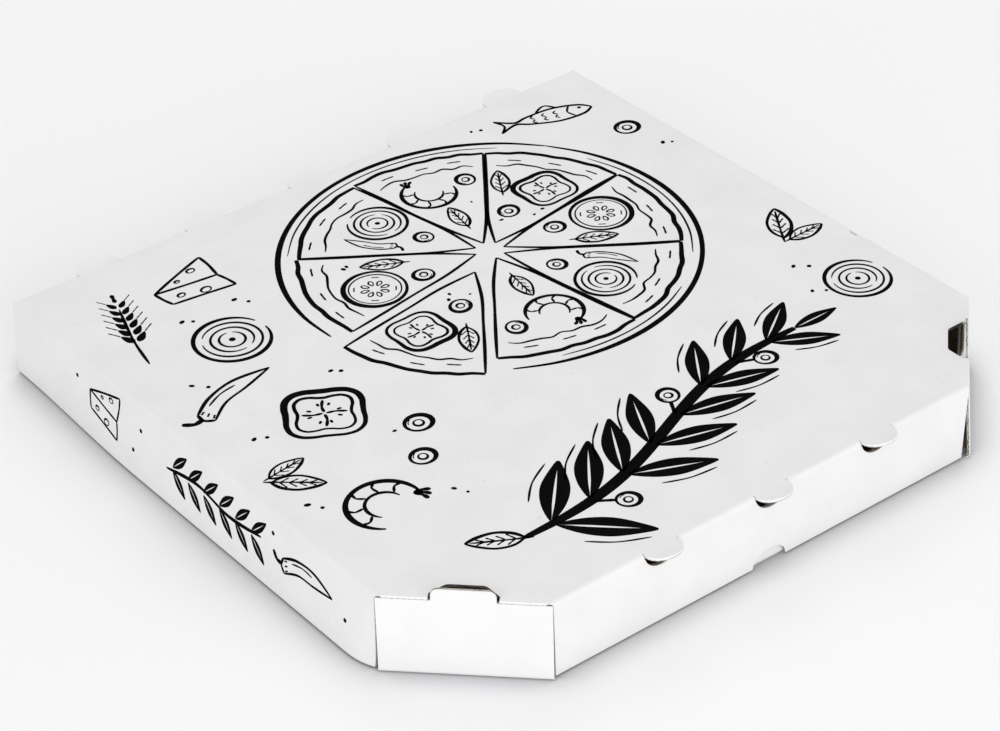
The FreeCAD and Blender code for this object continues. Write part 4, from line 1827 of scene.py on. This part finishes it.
@dataclass(frozen=True)
class Prawn(Motif):
    """A curled prawn tail, by its radius: an open ring with joints and a fan."""

    back: float = 0.17
    belly: float = 0.11
    belly_radius: float = 0.52
    joints: int = 5
    joint_line: float = 0.085
    fan_lean: float = 26.0

    def draw(self, pen: Pen) -> None:
        """Draw the prawn.

        Args:
            pen: Draws on the sheet.
        """
        pen.arc(1.0, -30, 215, self.back)
        pen.arc(self.belly_radius, -10, 205, self.belly)
        for i in range(self.joints):
            joint = pen.at(0, 0, 10 + 42 * i)
            joint.line([(0.56, 0), (0.79, 0.10), (0.97, 0)], self.joint_line)
        fan = pen.at(0.76, -0.34, -64)
        for side in (-1, 0, 1):
            fan.at(0, 0, side * self.fan_lean).line([(0, 0), (0.24, 0.05), (0.46, 0)], 0.8 * self.back)


@dataclass(frozen=True)
class Fish(Motif):
    """A small fish along +x, by its length, its nose ahead."""

    girth: float = 0.15
    edge: float = 0.040
    scales: int = 3

    def draw(self, pen: Pen) -> None:
        """Draw the fish.

        Args:
            pen: Draws on the sheet.
        """
        h = self.girth
        for side in (-1, 1):
            flank = [(1, 0), (0.86, 0.7 * h), (0.55, h), (0.22, 0.55 * h), (0.05, 0.15 * h),
                     (-0.16, 0.95 * h)]
            pen.line([(x, side * y) for x, y in flank], self.edge, taper=0.6)
        pen.line([(-0.16, 0.95 * h), (-0.08, 0), (-0.16, -0.95 * h)], 0.8 * self.edge, taper=0.6)
        pen.line([(0.76, 0.8 * h), (0.70, 0), (0.76, -0.8 * h)], 0.7 * self.edge)
        pen.dot(0.86, 0.25 * h, 0.6 * self.edge)
        pen.line([(0.62, h), (0.50, 1.6 * h), (0.36, 0.9 * h)], 0.8 * self.edge, taper=0.6)
        for i in range(self.scales):
            x = 0.58 - 0.14 * i
            for side in (-1, 1):
                scale = [(x, side * 0.55 * h), (x - 0.04, side * 0.3 * h), (x, side * 0.05 * h)]
                pen.line(scale, 0.55 * self.edge)


@dataclass(frozen=True)
class Placed:
    """A motif and its place, in millimetres and degrees."""

    motif: Motif
    x: float
    y: float
    angle: float = 0.0

    def draw(self, pen: Pen) -> None:
        """Draw the motif where it belongs."""
        self.motif.draw(pen.at(self.x, self.y, self.angle, self.motif.size))


@dataclass
class DishPrint:
    """The round print: a flatbread in eight slices, one pulled out, on a plate."""

    x: float = 28.0
    y: float = 60.0
    plate: float = 104.0
    plate_line: float = 3.1
    echo_inset: float = 4.6
    echo_line: float = 1.1
    crust: float = 93.0
    crust_line: float = 2.7
    inner: float = 81.0
    inner_line: float = 1.4
    cut_line: float = 1.8
    cut_start: float = 6.0
    turn: float = 9.0
    gap: float = 1.5
    pulled: int = 4
    pull: float = 13.0
    wobble: float = 0.8
    crumbs: int = 11
    clear: float = 2.0
    dash_reach: float = 2.4
    plate_arcs: tuple[Point, ...] = ((36, 186), (238, 396))
    echo_arcs: tuple[Point, ...] = ((50, 142), (252, 300), (318, 382))
    toppings: tuple[tuple[Placed, ...], ...] = (
        (Placed(Pepper(15.0), 62, -6, 25), Placed(Olive(5.4), 36, 4), Placed(Leaf(22.0), 52, 13, 28)),
        (Placed(Prawn(14.0), 62, 5, 60), Placed(Leaf(21.0), 24, 0, 5), Placed(Olive(5.2), 66, -17)),
        (Placed(Onion(15.0), 61, -7), Placed(Chilli(26.0), 45, 10, 12), Placed(Olive(4.8), 34, -2)),
        (Placed(Courgette(15.5), 62, 6), Placed(Leaf(22.0), 40, -10, -14), Placed(Olive(5.2), 36, 5)))
    slices: int = 8

    def wedge(self, pen: Pen, chance: random.Random) -> None:
        """One slice's outline, its point at the pen's origin and its middle along +x.

        Args:
            pen: Draws in the slice's frame.
            chance: Gives the hand's wobble.
        """
        half = math.pi / self.slices
        steps = 12
        rim, inner = [], []
        for i in range(steps + 1):
            a = -half + 2 * half * i / steps
            off = chance.uniform(-self.wobble, self.wobble)
            rim.append(((self.crust + off) * math.cos(a), (self.crust + off) * math.sin(a)))
            inner.append(((self.inner + 2 * off) * math.cos(a), (self.inner + 2 * off) * math.sin(a)))
        pen.line(rim, self.crust_line, taper=0.7, swell=0.2)
        pen.line(inner[1:-1], self.inner_line, taper=0.3)
        for side in (-1, 1):
            edge = [(self.cut_start, 0)]
            for share in (0.25, 0.5, 0.75, 1.0):
                r = self.cut_start + (self.crust - self.cut_start) * share
                off = chance.uniform(-self.wobble, self.wobble) / 2
                edge.append((r * math.cos(half), side * (r * math.sin(half) + off)))
            pen.line(edge, self.cut_line, taper=0.5)
        for i in range(3):
            a = math.degrees(half) * (0.6 * i - 0.6) + chance.uniform(-2, 2)
            r = (self.crust + self.inner) / 2 + chance.uniform(-1.5, 1.5)
            pen.arc(r, a - self.dash_reach, a + self.dash_reach, self.echo_line)

    def scatter(self, pen: Pen, laid: Sequence[Placed], chance: random.Random) -> None:
        """Drop crumbs on the slice's bare paper.

        Args:
            pen: Draws in the slice's frame.
            laid: The toppings, which the crumbs keep clear of.
            chance: Places the crumbs.
        """
        for _ in range(self.crumbs):
            r, a = chance.uniform(24, self.inner - 5), chance.uniform(-0.3, 0.3)
            size, turn = chance.uniform(0.8, 1.5), chance.uniform(0, 180)
            x, y = r * math.cos(a), r * math.sin(a)
            if all(math.hypot(x - top.x, y - top.y) > top.motif.size + self.clear for top in laid):
                pen.dot(x, y, size, 0.7, turn)

    def draw(self, pen: Pen) -> None:
        """Draw the dish.

        Args:
            pen: Draws on the sheet.
        """
        chance = random.Random(11)
        here = pen.at(self.x, self.y)
        thin = self.plate - self.echo_inset
        for start, end in self.plate_arcs:
            here.arc(self.plate, start, end, self.plate_line)
        for start, end in self.echo_arcs:
            here.arc(thin, start, end, self.echo_line)
        for i in range(self.slices):
            out = self.gap + (self.pull if i == self.pulled else 0.0)
            piece = here.at(0, 0, self.turn + 360 / self.slices * (i + 0.5)).at(out, 0)
            laid = self.toppings[i % len(self.toppings)]
            self.wedge(piece, chance)
            for topping in laid:
                topping.draw(piece)
            self.scatter(piece, laid, chance)


@dataclass
class BranchPrint:
    """The heavy ornament along the front: an olive branch with solid leaves, fruits and echo lines."""

    x: float = -4.0
    y: float = -110.0
    half_span: float = 98.0
    rise: float = 22.0
    swell: float = 7.0
    stem_line: float = 6.4
    pairs: int = 8
    lead: float = 0.6
    leaf: float = 44.0
    shrink: float = 0.24
    lean: float = 46.0
    lean_loss: float = 14.0
    fruit_step: int = 5
    fruit: float = 5.4
    fruit_stalk: float = 9.0
    root_gap: float = 2.2

    def stem(self, share: float) -> tuple[float, float, float]:
        """A point of the stem.

        Args:
            share: Share of the way along, from -1 to 1.

        Returns:
            Its x, its y and the stem's heading there.
        """
        x, y = share * self.half_span, self.rise * share + self.swell * math.sin(math.pi * share)
        slope = (self.rise + self.swell * math.pi * math.cos(math.pi * share)) / self.half_span
        return x, y, math.degrees(math.atan(slope))

    def draw(self, pen: Pen) -> None:
        """Draw the branch.

        Args:
            pen: Draws on the sheet.
        """
        here = pen.at(self.x, self.y)
        steps = 16
        stem = [self.stem(2 * i / steps - 1)[:2] for i in range(steps + 1)]
        here.line(stem, self.stem_line, taper=0.4, swell=0.12)
        for i in range(self.pairs):
            x, y, heading = self.stem(2 * (i + self.lead) / (self.pairs + 1 - self.lead) - 1)
            grown = i / (self.pairs - 1)
            size = self.leaf * (1 - self.shrink * grown)
            for side in (-1, 1):
                lean = side * (self.lean - self.lean_loss * grown)
                root = here.at(x, y, heading + lean).at(self.root_gap, 0)
                if (i + side) % self.fruit_step:
                    Placed(SolidLeaf(size), 0, 0).draw(root)
                    root.line([(0.30 * size, side * 0.25 * size), (0.62 * size, side * 0.235 * size),
                               (0.95 * size, side * 0.13 * size)], 1.1)
                else:
                    root.line([(0, 0), (self.fruit_stalk, 0)], 2.0, taper=0.7)
                    Placed(Olive(self.fruit), self.fruit_stalk + self.fruit, 0).draw(root)
        x, y, heading = self.stem(1)
        Placed(SolidLeaf(0.6 * self.leaf), x, y, heading).draw(here)
        x, y, heading = self.stem(-1)
        Placed(Leaf(0.6 * self.leaf), x, y, heading + 150).draw(here)


@dataclass
class LooseMotifs:
    """Single drawings down the left side and in the right corners of the lid, with crumbs between them."""

    drawings: tuple[Placed, ...] = (
        Placed(Wheat(64.0), -153, 86, 74), Placed(Cheese(37.0), -117, 124, 10),
        Placed(Onion(18.5), -112, 78), Placed(Chilli(47.0), -157, 32, 26), Placed(Pepper(19.5), -114, 0, 25),
        Placed(Leaf(25.0), -163, -28, -40), Placed(Leaf(21.0), -162, -25, 8), Placed(Olive(6.6), -86, -34),
        Placed(Olive(6.0), -100, -56), Placed(Prawn(17.5), -134, -74, 20), Placed(Fish(46.0), 112, 150, -16),
        Placed(Olive(6.4), 156, 108), Placed(Leaf(28.0), 144, -26, 58), Placed(Leaf(22.0), 145, -29, 2),
        Placed(Onion(16.0), 146, -76))
    crumbs: tuple[Point, ...] = (
        (-148, 58), (-92, 106), (-122, 106), (-92, 26), (-150, 4), (-98, -32), (-160, -52), (130, -48),
        (160, 84), (92, 158), (122, -70), (-104, -84))

    def draw(self, pen: Pen) -> None:
        """Draw the motifs.

        Args:
            pen: Draws on the sheet.
        """
        for drawing in self.drawings:
            drawing.draw(pen)
        chance = random.Random(5)
        for x, y in self.crumbs:
            pen.dot(x, y, chance.uniform(1.1, 1.7), 0.7, chance.uniform(0, 180))
            pen.dot(x + chance.uniform(3, 6), y - chance.uniform(2, 6), chance.uniform(0.8, 1.2))


@dataclass
class SidePrint:
    """The print on the left flap: a sprig between two small drawings. x runs along the flap, y up it."""

    half_span: float = 38.0
    stem_line: float = 2.0
    pairs: int = 6
    blade: float = 15.0
    blade_width: float = 0.34
    lean: float = 42.0
    drawings: tuple[Placed, ...] = (Placed(Cheese(27.0), -104, -2, 4), Placed(Chilli(36.0), 56, -3, 12))
    crumbs: tuple[Point, ...] = ((-60, 6), (-66, -7), (47, 9), (102, -5), (-116, 8))

    def draw(self, pen: Pen) -> None:
        """Draw the flap's print.

        Args:
            pen: Draws on the sheet.
        """
        reach = self.half_span
        pen.line([(-reach, -2), (-reach / 3, 2), (reach / 3, -1), (reach, 2)], self.stem_line, taper=0.4)
        for i in range(self.pairs):
            x = reach * (2 * (i + 0.4) / self.pairs - 1)
            for side in (-1, 1):
                Placed(SolidLeaf(self.blade, self.blade_width), x, 0.7 * side, side * self.lean).draw(pen)
        for drawing in self.drawings:
            drawing.draw(pen)
        for x, y in self.crumbs:
            pen.dot(x, y, 1.1)


@dataclass
class Studio:
    """The floor, the light and the camera."""

    azimuth: float = -36.75
    elevation: float = 34.27
    roll: float = -2.33
    distance: float = 1.480
    across: float = -0.0113
    upward: float = 0.0126
    focal_pixels: float = 3083.0
    picture_width: float = 1000.0
    sensor: float = 36.0
    floor_reach: float = 6.0
    world_strength: float = 0.755
    sky: Colour = (0.93, 0.935, 0.945, 1.0)
    lamp_size: float = 1.2
    lamp_aim: float = 0.02
    clip: Point = (0.05, 50.0)
    lamps: tuple[tuple[str, Point, float, float], ...] = (
        ("key_light", (-0.75, -1.75), 0.62, 10.0), ("front_light", (0.6, -1.9), 0.7, 6.2),
        ("left_light", (-1.9, -0.5), 0.7, 7.4), ("back_light", (0.9, 1.2), 1.6, 7.6))

    def floor(self) -> bpy.types.Object:
        """Lay the floor.

        Returns:
            The floor.
        """
        mesh = bpy.data.meshes.new("floor")
        r = self.floor_reach
        mesh.from_pydata([(-r, -r, 0), (r, -r, 0), (r, r, 0), (-r, r, 0)], [], [(0, 1, 2, 3)])
        mesh.materials.append(FloorFinish().material())
        made = bpy.data.objects.new("floor", mesh)
        bpy.context.scene.collection.objects.link(made)
        return made

    def world(self) -> None:
        """A soft even light from all round, which the camera sees as white."""
        world = bpy.data.worlds.new("studio")
        bpy.context.scene.world = world
        world.use_nodes = True
        tree = world.node_tree
        tree.nodes.clear()
        path = tree.nodes.new("ShaderNodeLightPath")
        light = tree.nodes.new("ShaderNodeBackground")
        light.inputs["Color"].default_value = (1, 1, 1, 1)
        light.inputs["Strength"].default_value = self.world_strength
        seen = tree.nodes.new("ShaderNodeBackground")
        seen.inputs["Color"].default_value = self.sky
        pick = tree.nodes.new("ShaderNodeMixShader")
        output = tree.nodes.new("ShaderNodeOutputWorld")
        tree.links.new(path.outputs["Is Camera Ray"], pick.inputs[0])
        tree.links.new(light.outputs[0], pick.inputs[1])
        tree.links.new(seen.outputs[0], pick.inputs[2])
        tree.links.new(pick.outputs[0], output.inputs[0])

    def lamp(self, name: str, place: Vector, energy: float) -> bpy.types.Object:
        """Hang one square soft light that looks at the box.

        Args:
            name: Its name.
            place: Where it hangs.
            energy: Its power.

        Returns:
            The lamp.
        """
        data = bpy.data.lights.new(name, "AREA")
        data.shape = "SQUARE"
        data.size = self.lamp_size
        data.energy = energy
        made = bpy.data.objects.new(name, data)
        made.location = place
        made.rotation_mode = "QUATERNION"
        made.rotation_quaternion = (Vector((0, 0, self.lamp_aim)) - place).to_track_quat("-Z", "Y")
        bpy.context.scene.collection.objects.link(made)
        return made

    def camera(self) -> bpy.types.Object:
        """Set the camera at the photograph's place and angle.

        Returns:
            The camera.
        """
        a, e, roll = (math.radians(v) for v in (self.azimuth, self.elevation, self.roll))
        back = Vector((math.sin(a) * math.cos(e), -math.cos(a) * math.cos(e), math.sin(e)))
        right = Vector((math.cos(a), math.sin(a), 0))
        up = back.cross(right)
        across = right * math.cos(roll) + up * math.sin(roll)
        upward = up * math.cos(roll) - right * math.sin(roll)
        data = bpy.data.cameras.new("camera")
        data.sensor_width = self.sensor
        data.lens = self.sensor * self.focal_pixels / self.picture_width
        data.clip_start, data.clip_end = self.clip
        made = bpy.data.objects.new("camera", data)
        place = across * self.across + upward * self.upward + back * self.distance
        made.matrix_world = Matrix((
            (across.x, upward.x, back.x, place.x), (across.y, upward.y, back.y, place.y),
            (across.z, upward.z, back.z, place.z), (0, 0, 0, 1)))
        bpy.context.scene.collection.objects.link(made)
        bpy.context.scene.camera = made
        return made

    def build(self) -> None:
        """Set up the whole studio."""
        self.camera()
        self.floor()
        self.world()
        for name, (x, y), z, energy in self.lamps:
            self.lamp(name, Vector((x, y, z)), energy)
        bpy.context.scene.view_settings.view_transform = "Standard"


def main() -> None:
    """Build every piece in order and report it."""
    logging.basicConfig(level=logging.INFO, format="%(message)s")
    finishes = Finishes()
    materials = {Face.WHITE: finishes.white.material(), Face.KRAFT: finishes.kraft.material(),
                 Face.RAW: finishes.raw.material(), Face.OPEN: finishes.open_painted_shade.material()}
    crushed = {**materials, Face.RAW: finishes.crushed.material()}
    ink = finishes.ink.material()
    sizes = Sizes()
    flaps = Flaps(sizes)
    Studio().build()
    made = [Tray(sizes).build(materials), Lid(sizes).build(crushed), flaps.front(materials)]
    made += [flaps.side(sign, materials) for sign in (-1, 1)]
    made += FoldStrips(sizes).build(materials)

    def on_lid(x: float, y: float, level: float) -> Vector:
        """A place on the lid's top, from millimetres."""
        return Vector((x * MM, y * MM, sizes.height + level * MM))

    flap_middle = (sizes.height + flaps.floor_gap) / 2

    def on_left_flap(x: float, y: float, level: float) -> Vector:
        """A place on the left flap's outer face, x from the back towards the front and y up."""
        drop = sizes.height - sizes.fold - flap_middle - y * MM
        return flaps.side_point(-1, -x * MM, drop, -level * MM)

    prints = (("dish", DishPrint(), on_lid, "lid"), ("branch", BranchPrint(), on_lid, "lid"),
              ("motif", LooseMotifs(), on_lid, "lid"), ("side", SidePrint(), on_left_flap, "left_flap"))
    for name, art, surface, body in prints:
        pen = Pen(name + "_ink", surface)
        art.draw(pen)
        made.append(pen.build(ink, name + "_print", body))
    for piece in made:
        log.info("%s: %d vertices, %d faces", piece.name, len(piece.data.vertices), len(piece.data.polygons))


if __name__ == "__main__":
    main()
